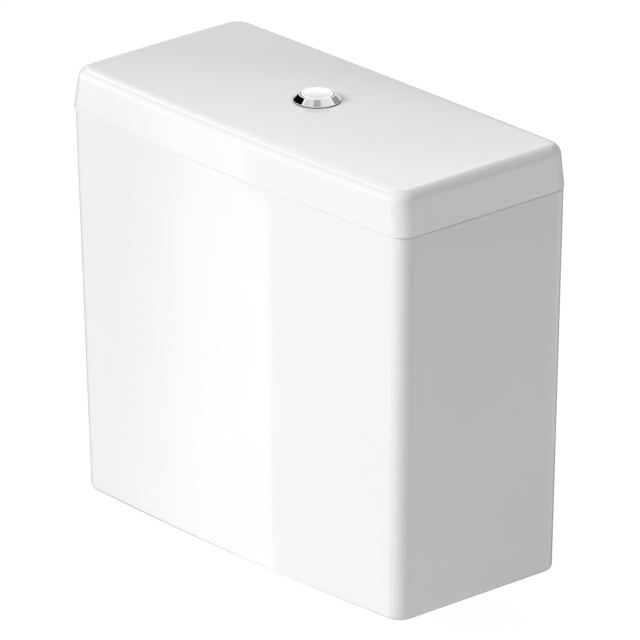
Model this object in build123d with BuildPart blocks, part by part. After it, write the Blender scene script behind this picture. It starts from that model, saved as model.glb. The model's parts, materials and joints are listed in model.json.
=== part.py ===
"""Close-coupled toilet cistern with a round push button in its lid.

Millimetres. The origin is the axis of the flush outlet, midway between the two
coupling bolts, in the plane of the tank's underside rim. +Z is up, +Y points at
the wall behind the cistern and -Y is the arched front.
"""

import math
import os

from build123d import *

os.makedirs("parts", exist_ok=True)

# Shell, tank and lid together
lid_width = 390.0
shell_depth = 172.5
front_bow = 5.8
tank_height = 317.0
lid_gap = 0.6
lid_height = 34.0
lid_crown = 3.6
lid_overhang = 0.8
corner_radius = 14.5
inner_corner_radius = 9.0
cut_overrun = 2.0
back_skim = 0.05

# Tank
side_draft = 9.5
front_draft = 4.9
wall = 10.0
floor_thickness = 11.0
recess_depth = 14.0
foot_width = 14.0
base_edge_radius = 4.0
mouth_edge_radius = 0.9
inner_floor_radius = 6.0
outlet_hole_radius = 32.0
bolt_hole_radius = 5.5
inlet_hole_radius = 11.2
wall_hole_radius = 3.5
wall_hole_spacing = 240.0
wall_hole_drop = 42.0

# Lid
lid_side_draft = 5.0
lid_front_draft = 1.5
lid_edge_radius = 8.0
lid_rim_radius = 0.7
lid_thickness = 9.0
lip_clearance = 1.5
lip_thickness = 7.0
lip_drop = 8.0
lid_inner_draft = 7.0
lid_inner_radius = 5.0
button_hole_radius = 16.2
land_radius = 20.0
land_depth = 0.3
crown_edge_share = 0.02
pad_length = 24.0
pad_width = 6.0
pad_from_centre = 55.0

# Coupling bolts and their seals
bolt_spacing = 150.0
bolt_radius = 4.0
bolt_reach = 45.0
bolt_point = 0.8
bolt_head_radius = 7.5
bolt_head_height = 5.3
bolt_nut_height = 6.5
bolt_waist_radius = 3.75
bolt_waist_drop = 4.4
washer_radius = 10.0
washer_thickness = 1.6
seal_radius = 13.0
seal_top_radius = 10.5
seal_height = 4.0
fit_clearance = 0.2

# Flush outlet
tail_radius = 29.8
tail_bore = 25.5
tail_reach = 31.0
flange_radius = 39.0
flange_thickness = 4.0
gasket_thickness = 3.0
seat_lip_height = 5.0
seat_lip_width = 3.5
groove_width = 1.5
groove_depth = 1.0
backnut_radius = 43.0
backnut_height = 14.0
backnut_chamfer = 1.5
doughnut_radius = 44.0
doughnut_foot_radius = 38.0
doughnut_height = 18.0
doughnut_shoulder = 10.0

# Flush valve tower
tower_radius = 34.5
tower_wall = 2.5
tower_foot_radius = 38.5
tower_foot_height = 3.0
port_width = 30.0
port_height = 62.0
port_lift = 9.0
port_radius = 6.0
slot_width = 9.0
slot_gap = 21.0
slot_margin = 25.0
cap_radius = 36.6
cap_thickness = 4.0
cap_skirt_height = 12.0
plate_gap = 39.0
plate_thickness = 3.0
plate_half_width = 25.0
plate_over = 8.0
plate_corner = 7.0
plate_window_width = 22.0
plate_window_height = 28.0
plate_window_lift = 8.0
plate_window_radius = 4.0

# Rockers
pivot_spread = 20.0
pivot_drop = 37.0
bridge_height = 55.0
inner_arm = 14.0
outer_arm = 18.0
rocker_tilt = 16.0
rocker_end_radius = 2.5
rocker_bar = 3.2
rocker_width = 12.0
rocker_hub_radius = 4.5
pin_radius = 2.0
pin_head_radius = 3.4
pin_head_height = 1.4
pin_clearance = 0.15
running_gap = 0.3

# Rising stem of the flush valve
tube_radius = 13.0
tube_wall = 2.0
tube_drop = 22.0
tube_foot = 5.0
seal_disc_radius = 30.0
seal_disc_thickness = 3.0
retainer_radius = 20.0
retainer_thickness = 3.0
plate_disc_thickness = 3.0
plate_hub_radius = 17.0
plate_hub_height = 16.0
float_radius = 25.0
float_wall = 1.8
float_lift = 42.0
float_height = 60.0
yoke_drop = 44.0
yoke_height = 8.0
yoke_radius = 17.5
yoke_width = 12.0
yoke_bar = 5.0
yoke_leg = 4.0
yoke_leg_gap = 2.0
yoke_hook = 4.2
yoke_hook_half = 3.0

# Inlet and fill valve
shank_radius = 10.48
shank_bore = 6.5
shank_reach = 35.0
shank_flange_radius = 17.0
shank_spigot_radius = 11.0
shank_spigot_height = 32.0
shank_groove_top = 1.0
shank_groove_width = 2.0
shank_groove_depth = 0.8
inlet_nut_radius = 18.0
inlet_nut_height = 9.0
filter_radius = 5.2
filter_wall = 0.9
filter_length = 17.0
filter_flange = 1.5
riser_radius = 13.0
riser_lift = 17.0
riser_drop = 92.0
clip_radius = 16.5
clip_height = 10.0
clip_lift = 3.0
clip_mouth = 9.0
head_radius = 18.0
head_cone = 7.0
head_height = 24.0
head_bore = 6.0
diaphragm_radius = 16.5
diaphragm_thickness = 1.4
fill_cap_radius = 20.5
fill_cap_height = 12.0
fill_cap_skirt = 9.0
fill_cap_flute = 1.6
fill_cap_flutes = 12
pilot_radius = 3.0
pilot_height = 2.4
cheek_gap = 8.0
cheek_thickness = 3.0
cheek_half_width = 4.5
cheek_over = 4.4

# Float, rod and lever
lever_pivot_offset = 8.0
lever_rise = 7.6
lever_arm = 27.0
lever_tilt = 19.5
lever_nose = 8.0
lever_bar = 3.6
lever_width = 7.0
lever_hub_radius = 4.0
lever_pin_radius = 1.5
lever_fork_width = 14.0
lever_fork_root = 9.0
lever_slot_root = 6.0
lever_slot_width = 5.2
lever_pad_radius = 2.5
nose_radius = 2.0
rod_radius = 2.0
rod_tail = 30.0
rod_head = 3.0
collar_radius = 5.0
collar_height = 4.0
cup_clearance = 1.5
cup_wall = 1.8
cup_radius = 29.0
cup_drop = 75.0
cup_height = 55.0
cup_lug_width = 10.0
cup_lug_height = 8.0
cup_boss_height = 15.0

# Button in the lid
bezel_radius = 18.5
bezel_rim = 1.3
bezel_cone = 4.4
bezel_top_radius = 14.4
bezel_bore = 13.4
housing_radius = 15.5
housing_bore = 14.6
housing_flange_radius = 17.2
housing_flange = 1.4
housing_depth = 24.0
housing_floor = 2.0
button_clearance = 0.3
button_proud = 0.4
button_cap = 3.0
button_skirt = 9.0
button_wall = 1.6
button_edge_radius = 0.8
housing_washer_radius = 24.0
housing_washer_thickness = 2.0
housing_nut_radius = 23.0
housing_nut_height = 8.0
stem_radius = 5.0
stem_hole_clearance = 0.5
stem_reach = 41.0
stem_socket = 28.0
push_rod_radius = 3.0
locknut_radius = 5.6
locknut_height = 4.0
foot_radius = 9.5
foot_thickness = 4.0
foot_hub_radius = 6.0
foot_hub_height = 9.0
spring_radius = 9.4
spring_wire = 0.7
spring_turns = 4
spring_end_gap = 0.2

# Levels and places that follow
shell_back = shell_depth / 2
shell_front = shell_depth / 2
lid_half = lid_width / 2
tank_half = lid_half - lid_overhang
tank_front = shell_front - lid_overhang
floor_level = recess_depth + floor_thickness
gasket_top = floor_level + gasket_thickness
flange_top = gasket_top + flange_thickness
seat_level = flange_top + seat_lip_height
lid_rim_level = tank_height + lid_gap
lid_top_level = lid_rim_level + lid_height
ceiling_level = lid_top_level - lid_thickness
land_level = lid_top_level + lid_crown - land_depth
pivot_level = tank_height - pivot_drop
tower_top = pivot_level - bridge_height
tower_height = tower_top - flange_top
slot_lift = port_lift + port_height + slot_gap
slot_height = tower_height - slot_lift - slot_margin
plate_foot = tower_top + cap_thickness
plate_height = pivot_level + plate_over - plate_foot
seal_level = seat_level + running_gap
tube_top = pivot_level - tube_drop
float_foot = seat_level + float_lift
yoke_level = pivot_level - yoke_drop
inner_half = tank_half - side_draft * (1 - floor_level / tank_height) - wall
inlet_x = -(bolt_spacing / 2 + seal_radius + inner_half) / 2
shank_flange_top = gasket_top + flange_thickness
shank_top = shank_flange_top + shank_spigot_height
riser_foot = shank_flange_top + riser_lift
riser_top = tank_height - riser_drop
cup_foot = riser_top - cup_drop
head_top = riser_top + head_height
cap_foot = head_top + diaphragm_thickness
cap_top = cap_foot + fill_cap_height
lever_pivot_level = cap_top + lever_rise
lever_pivot_x = inlet_x + lever_pivot_offset
cheek_height = lever_rise + cheek_over
stem_foot = land_level - stem_reach
outlet_axis = Axis.Z
back_plane = Plane.XZ.offset(-shell_back)
fill_axis = Axis((inlet_x, 0, 0), (0, 0, 1))
fill_plane = Plane(origin=(inlet_x, 0, 0), x_dir=(1, 0, 0), z_dir=(0, -1, 0))
bolt_places = ((-bolt_spacing / 2, 0), (bolt_spacing / 2, 0))
tilt_sine = math.sin(math.radians(rocker_tilt))
tilt_cosine = math.cos(math.radians(rocker_tilt))
lever_sine = math.sin(math.radians(lever_tilt))
lever_cosine = math.cos(math.radians(lever_tilt))
button_travel = 2 * inner_arm * tilt_sine
valve_travel = 2 * outer_arm * tilt_sine
float_travel = 2 * lever_arm * lever_sine


def shell_plan(level, half_width, front, inset=0.0):
    """Plan of the ceramic at one level, drawn inset from its outer face."""
    half = half_width - inset
    ahead = front - inset
    behind = shell_back + back_skim - inset
    with BuildSketch(Plane.XY.offset(level)) as plan:
        with BuildLine():
            Polyline((-half, -ahead), (-half, behind), (half, behind), (half, -ahead))
            ThreePointArc((half, -ahead), (0, -ahead - front_bow), (-half, -ahead))
        make_face()
        fillet(plan.vertices(), max(corner_radius - inset, inner_corner_radius))
    return plan.sketch


def tank_plan(level, inset=0.0):
    """Plan of the tank, which draws in towards its foot."""
    drop_share = 1 - level / tank_height
    half_width = tank_half - side_draft * drop_share
    return shell_plan(level, half_width, tank_front - front_draft * drop_share, inset)


def lid_plan(level, inset=0.0):
    """Plan of the lid, which draws in towards its top."""
    rise_share = (level - lid_rim_level) / lid_height
    half_width = lid_half - lid_side_draft * rise_share
    return shell_plan(level, half_width, shell_front - lid_front_draft * rise_share, inset)


def crown_slice(station, rise):
    """Slice across the lid at one station, with the arc of its crowned top."""
    reach = shell_front + front_bow
    foot = lid_rim_level - cut_overrun
    with BuildSketch(Plane.YZ.offset(station)) as slice_plan:
        with BuildLine():
            Polyline((-reach, lid_top_level), (-reach, foot), (reach, foot), (reach, lid_top_level))
            ThreePointArc((reach, lid_top_level), (0, lid_top_level + rise), (-reach, lid_top_level))
        make_face()
    return slice_plan.sketch


def profile(plane, points):
    """Closed profile through the given points of a plane."""
    with BuildSketch(plane) as outline:
        with BuildLine():
            Polyline(*points, close=True)
        make_face()
    return outline.sketch


def ring(plane, outer, inner):
    """Flat ring about the origin of a plane."""
    with BuildSketch(plane) as outline:
        Circle(outer)
        Circle(inner, mode=Mode.SUBTRACT)
    return outline.sketch


def hexagon_ring(plane, outer, inner):
    """Hexagon with a round hole, as in a nut."""
    with BuildSketch(plane) as outline:
        RegularPolygon(outer, 6)
        Circle(inner, mode=Mode.SUBTRACT)
    return outline.sketch


def save(builder, name):
    """Label a finished piece and write it."""
    builder.part.label = name
    export_step(builder.part, f"parts/{name}.step")


# Tank: glazed ceramic box that narrows downwards, open at the top, with a recess under its floor
with BuildPart() as tank:
    loft(sections=[tank_plan(0), tank_plan(tank_height)], ruled=True)
    fillet(tank.faces().sort_by(Axis.Z)[0].edges(), base_edge_radius)
    loft(
        sections=[tank_plan(floor_level, wall), tank_plan(tank_height + cut_overrun, wall)],
        ruled=True,
        mode=Mode.SUBTRACT,
    )
    inner_floor = tank.faces().filter_by(Plane.XY).filter_by_position(
        Axis.Z, floor_level - cut_overrun, floor_level + cut_overrun
    )
    fillet(inner_floor.edges(), inner_floor_radius)
    fillet(tank.faces().sort_by(Axis.Z)[-1].edges(), mouth_edge_radius)
    loft(
        sections=[tank_plan(-cut_overrun, foot_width), tank_plan(recess_depth, foot_width)],
        ruled=True,
        mode=Mode.SUBTRACT,
    )
    with Locations((0, 0, floor_level)):
        Hole(outlet_hole_radius, depth=floor_thickness)
    with Locations(*[(x, y, floor_level) for x, y in bolt_places]):
        Hole(bolt_hole_radius, depth=floor_thickness)
    with Locations((inlet_x, 0, floor_level)):
        Hole(inlet_hole_radius, depth=floor_thickness)
    with BuildSketch(Plane.XZ.offset(-shell_back - cut_overrun)):
        with Locations(
            (-wall_hole_spacing / 2, tank_height - wall_hole_drop),
            (wall_hole_spacing / 2, tank_height - wall_hole_drop),
        ):
            Circle(wall_hole_radius)
    extrude(amount=wall + 2 * cut_overrun, mode=Mode.SUBTRACT)
    split(bisect_by=back_plane, keep=Keep.TOP)
save(tank, "tank")

# Lid: crowned ceramic cover with a lip that drops into the mouth of the tank
with BuildPart() as lid:
    loft(
        sections=[lid_plan(lid_rim_level), lid_plan(lid_top_level + lid_crown + cut_overrun)],
        ruled=True,
    )
    loft(
        sections=[
            crown_slice(-lid_half - cut_overrun, lid_crown * crown_edge_share),
            crown_slice(0, lid_crown),
            crown_slice(lid_half + cut_overrun, lid_crown * crown_edge_share),
        ],
        mode=Mode.INTERSECT,
    )
    fillet(lid.faces().sort_by(Axis.Z)[-1].edges(), lid_edge_radius)
    fillet(lid.faces().sort_by(Axis.Z)[0].edges(), lid_rim_radius)
    split(bisect_by=back_plane, keep=Keep.TOP)
    loft(
        sections=[
            tank_plan(tank_height - lip_drop, wall + lip_clearance),
            tank_plan(lid_rim_level + lid_rim_radius, wall + lip_clearance),
        ],
        ruled=True,
    )
    loft(
        sections=[
            tank_plan(tank_height - lip_drop, wall + lip_clearance + lip_thickness),
            tank_plan(ceiling_level, wall + lip_clearance + lip_thickness + lid_inner_draft),
        ],
        ruled=True,
        mode=Mode.SUBTRACT,
    )
    ceiling = lid.faces().filter_by(Plane.XY).filter_by_position(
        Axis.Z, ceiling_level - land_depth, ceiling_level + land_depth
    )
    fillet(ceiling.edges(), lid_inner_radius)
    with BuildSketch(Plane.XY.offset(land_level)):
        Circle(land_radius)
    extrude(amount=cut_overrun, mode=Mode.SUBTRACT)
    with Locations((0, 0, land_level)):
        Hole(button_hole_radius, depth=land_level - ceiling_level)
save(lid, "lid")

# Rubber pads that carry the lid on the side walls of the tank
with BuildPart() as lid_pads:
    with BuildSketch(Plane.XY.offset(tank_height)):
        with GridLocations(2 * tank_half - wall, 2 * pad_from_centre, 2, 2):
            SlotOverall(pad_length, pad_width, rotation=90)
    extrude(amount=lid_gap)
save(lid_pads, "lid_pads")

# Valve seat: threaded tail through the floor, flange above it and the raised sealing lip
groove_top = -(backnut_height - recess_depth) - doughnut_height + groove_width / 3
with BuildPart() as valve_seat:
    add(
        profile(
            Plane.XZ,
            (
                (tail_bore, -tail_reach),
                (tail_radius, -tail_reach),
                (tail_radius, groove_top - groove_width),
                (tail_radius - groove_depth, groove_top - groove_width),
                (tail_radius - groove_depth, groove_top),
                (tail_radius, groove_top),
                (tail_radius, gasket_top),
                (flange_radius, gasket_top),
                (flange_radius, flange_top),
                (tail_bore + seat_lip_width, flange_top),
                (tail_bore + seat_lip_width, seat_level),
                (tail_bore, seat_level),
            ),
        )
    )
    revolve(axis=outlet_axis)
save(valve_seat, "valve_seat")

# Flat gasket between the flange and the tank's floor
with BuildPart() as seat_gasket:
    add(ring(Plane.XY.offset(floor_level), flange_radius, tail_radius + fit_clearance))
    extrude(amount=gasket_thickness)
save(seat_gasket, "seat_gasket")

# Back nut that clamps the valve seat from below
with BuildPart() as outlet_backnut:
    add(hexagon_ring(Plane.XY.offset(recess_depth), backnut_radius, tail_radius + fit_clearance))
    extrude(amount=-backnut_height)
    lower_rim = outlet_backnut.faces().sort_by(Axis.Z)[0].outer_wire()
    chamfer(lower_rim.edges(), backnut_chamfer)
save(outlet_backnut, "outlet_backnut")

# Thick coupling gasket, squeezed between tank and pan in use
doughnut_top = recess_depth - backnut_height
with BuildPart() as coupling_gasket:
    add(
        profile(
            Plane.XZ,
            (
                (tail_radius + fit_clearance, doughnut_top),
                (doughnut_radius, doughnut_top),
                (doughnut_radius, doughnut_top - doughnut_shoulder),
                (doughnut_foot_radius, doughnut_top - doughnut_height),
                (tail_radius + fit_clearance, doughnut_top - doughnut_height),
            ),
        )
    )
    revolve(axis=outlet_axis)
save(coupling_gasket, "coupling_gasket")

# Coupling bolts with the seal, washers and nut that fix each one in the floor
washer_level = floor_level + seal_height
head_level = washer_level + washer_thickness
nut_foot = recess_depth - washer_thickness - bolt_nut_height
bolt_waist_foot = nut_foot - bolt_waist_drop
with BuildPart() as coupling_bolts:
    with BuildSketch(Plane.XY.offset(-bolt_reach)):
        with Locations(*bolt_places):
            Circle(bolt_radius)
    extrude(amount=bolt_reach + head_level)
    chamfer(coupling_bolts.faces().group_by(Axis.Z)[0].edges(), bolt_point)
    with BuildSketch(Plane.XY.offset(head_level)):
        with Locations(*bolt_places):
            RegularPolygon(bolt_head_radius, 6)
    extrude(amount=bolt_head_height)
    with BuildSketch(Plane.XY.offset(bolt_waist_foot)):
        with Locations(*bolt_places):
            Circle(bolt_head_radius)
            Circle(bolt_waist_radius, mode=Mode.SUBTRACT)
    extrude(amount=head_level - bolt_waist_foot, mode=Mode.SUBTRACT)
save(coupling_bolts, "coupling_bolts")

with BuildPart() as bolt_seals:
    with Locations(*[(x, y, floor_level) for x, y in bolt_places]):
        Cone(seal_radius, seal_top_radius, seal_height, align=(Align.CENTER, Align.CENTER, Align.MIN))
    with Locations(*[(x, y, washer_level) for x, y in bolt_places]):
        Hole(bolt_radius + fit_clearance, depth=seal_height)
save(bolt_seals, "bolt_seals")

with BuildPart() as bolt_washers:
    for level in (washer_level, recess_depth - washer_thickness):
        with BuildSketch(Plane.XY.offset(level)):
            with Locations(*bolt_places):
                Circle(washer_radius)
                Circle(bolt_radius + fit_clearance, mode=Mode.SUBTRACT)
        extrude(amount=washer_thickness)
save(bolt_washers, "bolt_washers")

with BuildPart() as bolt_nuts:
    with BuildSketch(Plane.XY.offset(nut_foot)):
        with Locations(*bolt_places):
            RegularPolygon(bolt_head_radius, 6)
            Circle(bolt_radius + fit_clearance, mode=Mode.SUBTRACT)
    extrude(amount=bolt_nut_height)
save(bolt_nuts, "bolt_nuts")

# Tower of the flush valve: a tube on the seat with water ports and slots in its wall
with BuildPart() as valve_tower:
    add(ring(Plane.XY.offset(flange_top), tower_foot_radius, tower_radius - tower_wall))
    extrude(amount=tower_foot_height)
    add(ring(Plane.XY.offset(flange_top), tower_radius, tower_radius - tower_wall))
    extrude(amount=tower_height)
    for plane in (Plane.XZ, Plane.YZ):
        with BuildSketch(plane):
            with Locations((0, flange_top + port_lift + port_height / 2)):
                RectangleRounded(port_width, port_height, port_radius)
            with Locations((0, flange_top + slot_lift + slot_height / 2)):
                SlotOverall(slot_height, slot_width, rotation=90)
        extrude(amount=tower_foot_radius, both=True, mode=Mode.SUBTRACT)
save(valve_tower, "valve_tower")

# Cap of the tower with the two plates that hold the rocker pins
with BuildPart() as tower_cap:
    add(ring(Plane.XY.offset(tower_top - cap_skirt_height), cap_radius, tower_radius + fit_clearance))
    extrude(amount=cap_skirt_height)
    add(ring(Plane.XY.offset(tower_top), cap_radius, tube_radius + 2 * running_gap))
    extrude(amount=cap_thickness)
    for side in (-1, 1):
        with BuildSketch(Plane.XZ.offset(side * plate_gap / 2)) as plate:
            with Locations((0, plate_foot)):
                Rectangle(2 * plate_half_width, plate_height, align=(Align.CENTER, Align.MIN))
            fillet(plate.vertices().group_by(Axis.Z)[-1], plate_corner)
            with Locations((0, plate_foot + plate_window_lift)):
                RectangleRounded(
                    plate_window_width,
                    plate_window_height,
                    plate_window_radius,
                    align=(Align.CENTER, Align.MIN),
                    mode=Mode.SUBTRACT,
                )
            with Locations((-pivot_spread, pivot_level), (pivot_spread, pivot_level)):
                Circle(pin_radius + pin_clearance, mode=Mode.SUBTRACT)
        extrude(amount=side * plate_thickness)
save(tower_cap, "tower_cap")

# Pins on which the rockers turn, headed at the front
pin_reach = plate_gap / 2 + plate_thickness
with BuildPart() as rocker_pins:
    with BuildSketch(Plane.XZ.offset(-pin_reach)):
        with Locations((-pivot_spread, pivot_level), (pivot_spread, pivot_level)):
            Circle(pin_radius)
    extrude(amount=2 * pin_reach)
    with BuildSketch(Plane.XZ.offset(pin_reach)):
        with Locations((-pivot_spread, pivot_level), (pivot_spread, pivot_level)):
            Circle(pin_head_radius)
    extrude(amount=pin_head_height)
save(rocker_pins, "rocker_pins")


def make_rocker(side):
    """Rocker on one side: inner end under the rod's foot, outer end under the yoke's hook."""
    plane = Plane(
        origin=(side * pivot_spread, 0, pivot_level),
        x_dir=(side * tilt_cosine, 0, -tilt_sine),
        z_dir=(0, -side, 0),
    )
    with BuildPart() as rocker:
        with BuildSketch(plane):
            with Locations(((outer_arm - inner_arm) / 2, 0)):
                Rectangle(inner_arm + outer_arm, rocker_bar)
            with Locations((-inner_arm, 0), (outer_arm, 0)):
                Circle(rocker_end_radius)
        extrude(amount=rocker_width / 2, both=True)
        with BuildSketch(plane):
            Circle(rocker_hub_radius)
        extrude(amount=plate_gap / 2 - running_gap, both=True)
        with BuildSketch(plane):
            Circle(pin_radius + pin_clearance)
        extrude(amount=plate_gap / 2, both=True, mode=Mode.SUBTRACT)
    return rocker


rocker_left = make_rocker(-1)
save(rocker_left, "rocker_left")
rocker_right = make_rocker(1)
save(rocker_right, "rocker_right")

# Overflow tube, the spine of the rising stem
with BuildPart() as overflow_tube:
    add(ring(Plane.XY.offset(seal_level - tube_foot), tube_radius, tube_radius - tube_wall))
    extrude(amount=tube_top - seal_level + tube_foot)
save(overflow_tube, "overflow_tube")

# Rubber seal with the retainer under it and the stiff plate over it
with BuildPart() as seal_retainer:
    add(ring(Plane.XY.offset(seal_level - retainer_thickness), retainer_radius, tube_radius))
    extrude(amount=retainer_thickness)
save(seal_retainer, "seal_retainer")

with BuildPart() as valve_seal:
    add(ring(Plane.XY.offset(seal_level), seal_disc_radius, tube_radius))
    extrude(amount=seal_disc_thickness)
save(valve_seal, "valve_seal")

disc_level = seal_level + seal_disc_thickness
with BuildPart() as seal_plate:
    add(
        profile(
            Plane.XZ,
            (
                (tube_radius, disc_level),
                (seal_disc_radius, disc_level),
                (seal_disc_radius, disc_level + plate_disc_thickness),
                (plate_hub_radius + plate_disc_thickness, disc_level + plate_disc_thickness),
                (plate_hub_radius, disc_level + 2 * plate_disc_thickness),
                (plate_hub_radius, disc_level + plate_hub_height),
                (tube_radius, disc_level + plate_hub_height),
            ),
        )
    )
    revolve(axis=outlet_axis)
save(seal_plate, "seal_plate")

# Inverted cup that keeps the stem up while the tank empties
float_top = float_foot + float_height
sleeve_radius = tube_radius + float_wall
with BuildPart() as stem_float:
    add(
        profile(
            Plane.XZ,
            (
                (tube_radius, float_foot),
                (sleeve_radius, float_foot),
                (sleeve_radius, float_top - float_wall),
                (float_radius - float_wall, float_top - float_wall),
                (float_radius - float_wall, float_foot),
                (float_radius, float_foot),
                (float_radius, float_top),
                (tube_radius, float_top),
            ),
        )
    )
    revolve(axis=outlet_axis)
save(stem_float, "stem_float")

# Yoke: ring on the overflow tube, two arms and the hooks over the rockers' outer ends
hook_level = pivot_level - outer_arm * tilt_sine + rocker_end_radius + running_gap
leg_inside = pivot_spread + outer_arm + rocker_end_radius + yoke_leg_gap
leg_outside = leg_inside + yoke_leg
hook_inside = pivot_spread + outer_arm - yoke_hook_half
right_arm = (
    (leg_outside, yoke_level),
    (leg_outside, hook_level + yoke_hook),
    (hook_inside, hook_level + yoke_hook),
    (hook_inside, hook_level),
    (leg_inside, hook_level),
    (leg_inside, yoke_level + yoke_bar),
)
left_arm = tuple((-x, z) for x, z in reversed(right_arm))
with BuildPart() as lift_yoke:
    with BuildSketch(Plane.XZ):
        with BuildLine():
            Polyline(*right_arm, *left_arm, close=True)
        make_face()
    extrude(amount=yoke_width / 2, both=True)
    with BuildSketch(Plane.XY.offset(yoke_level)):
        Circle(yoke_radius)
    extrude(amount=yoke_height)
    with Locations((0, 0, yoke_level + yoke_height)):
        Hole(tube_radius, depth=yoke_height)
save(lift_yoke, "lift_yoke")

# Inlet shank with its cone washer, back nut and strainer
shank_groove_level = shank_groove_top - shank_groove_width
with BuildPart() as inlet_shank:
    add(
        profile(
            fill_plane,
            (
                (shank_bore, -shank_reach),
                (shank_radius, -shank_reach),
                (shank_radius, shank_groove_level - shank_groove_width),
                (shank_radius - shank_groove_depth, shank_groove_level - shank_groove_width),
                (shank_radius - shank_groove_depth, shank_groove_level),
                (shank_radius, shank_groove_level),
                (shank_radius, gasket_top),
                (shank_flange_radius, gasket_top),
                (shank_flange_radius, shank_flange_top),
                (shank_spigot_radius, shank_flange_top),
                (shank_spigot_radius, shank_top),
                (shank_bore, shank_top),
            ),
        )
    )
    revolve(axis=fill_axis)
save(inlet_shank, "inlet_shank")

with BuildPart() as inlet_washer:
    add(
        ring(
            Plane(origin=(inlet_x, 0, floor_level)),
            shank_flange_radius,
            shank_radius + fit_clearance,
        )
    )
    extrude(amount=gasket_thickness)
save(inlet_washer, "inlet_washer")

with BuildPart() as inlet_backnut:
    add(
        hexagon_ring(
            Plane(origin=(inlet_x, 0, recess_depth)),
            inlet_nut_radius,
            shank_radius + fit_clearance,
        )
    )
    extrude(amount=-inlet_nut_height)
save(inlet_backnut, "inlet_backnut")

filter_foot = filter_flange - shank_reach
with BuildPart() as inlet_filter:
    add(
        profile(
            fill_plane,
            (
                (filter_radius - filter_wall, filter_foot),
                (shank_bore, filter_foot),
                (shank_bore, filter_foot + filter_flange),
                (filter_radius, filter_foot + filter_flange),
                (filter_radius, filter_foot + filter_length),
                (0, filter_foot + filter_length),
                (0, filter_foot + filter_length - filter_wall),
                (filter_radius - filter_wall, filter_foot + filter_length - filter_wall),
            ),
        )
    )
    revolve(axis=fill_axis)
save(inlet_filter, "inlet_filter")

# Riser of the fill valve over the shank's spigot, and the clip that locks its height
with BuildPart() as fill_riser:
    add(ring(Plane(origin=(inlet_x, 0, riser_foot)), riser_radius, shank_spigot_radius + fit_clearance))
    extrude(amount=riser_top - riser_foot)
save(fill_riser, "fill_riser")

with BuildPart() as riser_clip:
    with BuildSketch(Plane(origin=(inlet_x, 0, riser_foot + clip_lift))):
        Circle(clip_radius)
        Circle(riser_radius, mode=Mode.SUBTRACT)
        with Locations((-clip_radius, 0)):
            Rectangle(clip_radius, clip_mouth, mode=Mode.SUBTRACT)
    extrude(amount=clip_height)
save(riser_clip, "riser_clip")

# Head of the fill valve, its diaphragm and the fluted cap with the lever's cheeks
with BuildPart() as fill_head:
    add(
        profile(
            fill_plane,
            (
                (head_bore, riser_top),
                (riser_radius, riser_top),
                (head_radius, riser_top + head_cone),
                (head_radius, head_top),
                (head_bore, head_top),
            ),
        )
    )
    revolve(axis=fill_axis)
save(fill_head, "fill_head")

with BuildPart() as diaphragm:
    with BuildSketch(Plane(origin=(inlet_x, 0, head_top))):
        Circle(diaphragm_radius)
    extrude(amount=diaphragm_thickness)
save(diaphragm, "diaphragm")

with BuildPart() as fill_cap:
    add(
        ring(
            Plane(origin=(inlet_x, 0, cap_foot - fill_cap_skirt)),
            fill_cap_radius,
            head_radius + fit_clearance,
        )
    )
    extrude(amount=fill_cap_skirt)
    with BuildSketch(Plane(origin=(inlet_x, 0, cap_foot))):
        Circle(fill_cap_radius)
    extrude(amount=fill_cap_height)
    with BuildSketch(Plane(origin=(inlet_x, 0, cap_foot - fill_cap_skirt))):
        with PolarLocations(fill_cap_radius, fill_cap_flutes):
            Circle(fill_cap_flute)
    extrude(amount=fill_cap_skirt + fill_cap_height, mode=Mode.SUBTRACT)
    with BuildSketch(Plane(origin=(inlet_x, 0, cap_top))):
        Circle(pilot_radius)
    extrude(amount=pilot_height)
    for side in (-1, 1):
        with BuildSketch(Plane.XZ.offset(side * cheek_gap / 2)) as cheek:
            with Locations((lever_pivot_x, cap_top)):
                Rectangle(2 * cheek_half_width, cheek_height, align=(Align.CENTER, Align.MIN))
            fillet(cheek.vertices().group_by(Axis.Z)[-1], cheek_half_width / 2)
            with Locations((lever_pivot_x, lever_pivot_level)):
                Circle(lever_pin_radius + pin_clearance, mode=Mode.SUBTRACT)
        extrude(amount=side * cheek_thickness)
save(fill_cap, "fill_cap")

with BuildPart() as lever_pin:
    with BuildSketch(Plane(origin=(lever_pivot_x, 0, lever_pivot_level), z_dir=(0, -1, 0))):
        Circle(lever_pin_radius)
    extrude(amount=cheek_gap / 2 + cheek_thickness, both=True)
save(lever_pin, "lever_pin")

# Lever from the float's rod to the pilot hole, forked round the rod
lever_plane = Plane(
    origin=(lever_pivot_x, 0, lever_pivot_level),
    x_dir=(lever_cosine, 0, -lever_sine),
    z_dir=(0, -1, 0),
)
with BuildPart() as float_lever:
    with BuildSketch(lever_plane):
        with Locations(((lever_arm - lever_nose) / 2, 0)):
            Rectangle(lever_arm + lever_nose, lever_bar)
        with Locations((-lever_nose, 0)):
            Circle(nose_radius)
        Circle(lever_hub_radius)
    extrude(amount=lever_width / 2, both=True)
    with BuildSketch(lever_plane):
        with Locations((lever_arm - lever_fork_root / 2, 0)):
            Rectangle(lever_fork_root, lever_bar)
        with Locations((lever_arm, 0)):
            Circle(lever_pad_radius)
    extrude(amount=lever_fork_width / 2, both=True)
    with BuildSketch(lever_plane):
        with Locations((lever_arm - lever_slot_root, 0)):
            Rectangle(
                lever_slot_root + 2 * lever_pad_radius,
                4 * lever_pad_radius,
                align=(Align.MIN, Align.CENTER),
            )
    extrude(amount=lever_slot_width / 2, both=True, mode=Mode.SUBTRACT)
    with BuildSketch(lever_plane):
        Circle(lever_pin_radius + pin_clearance)
    extrude(amount=lever_width, both=True, mode=Mode.SUBTRACT)
save(float_lever, "float_lever")

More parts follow.
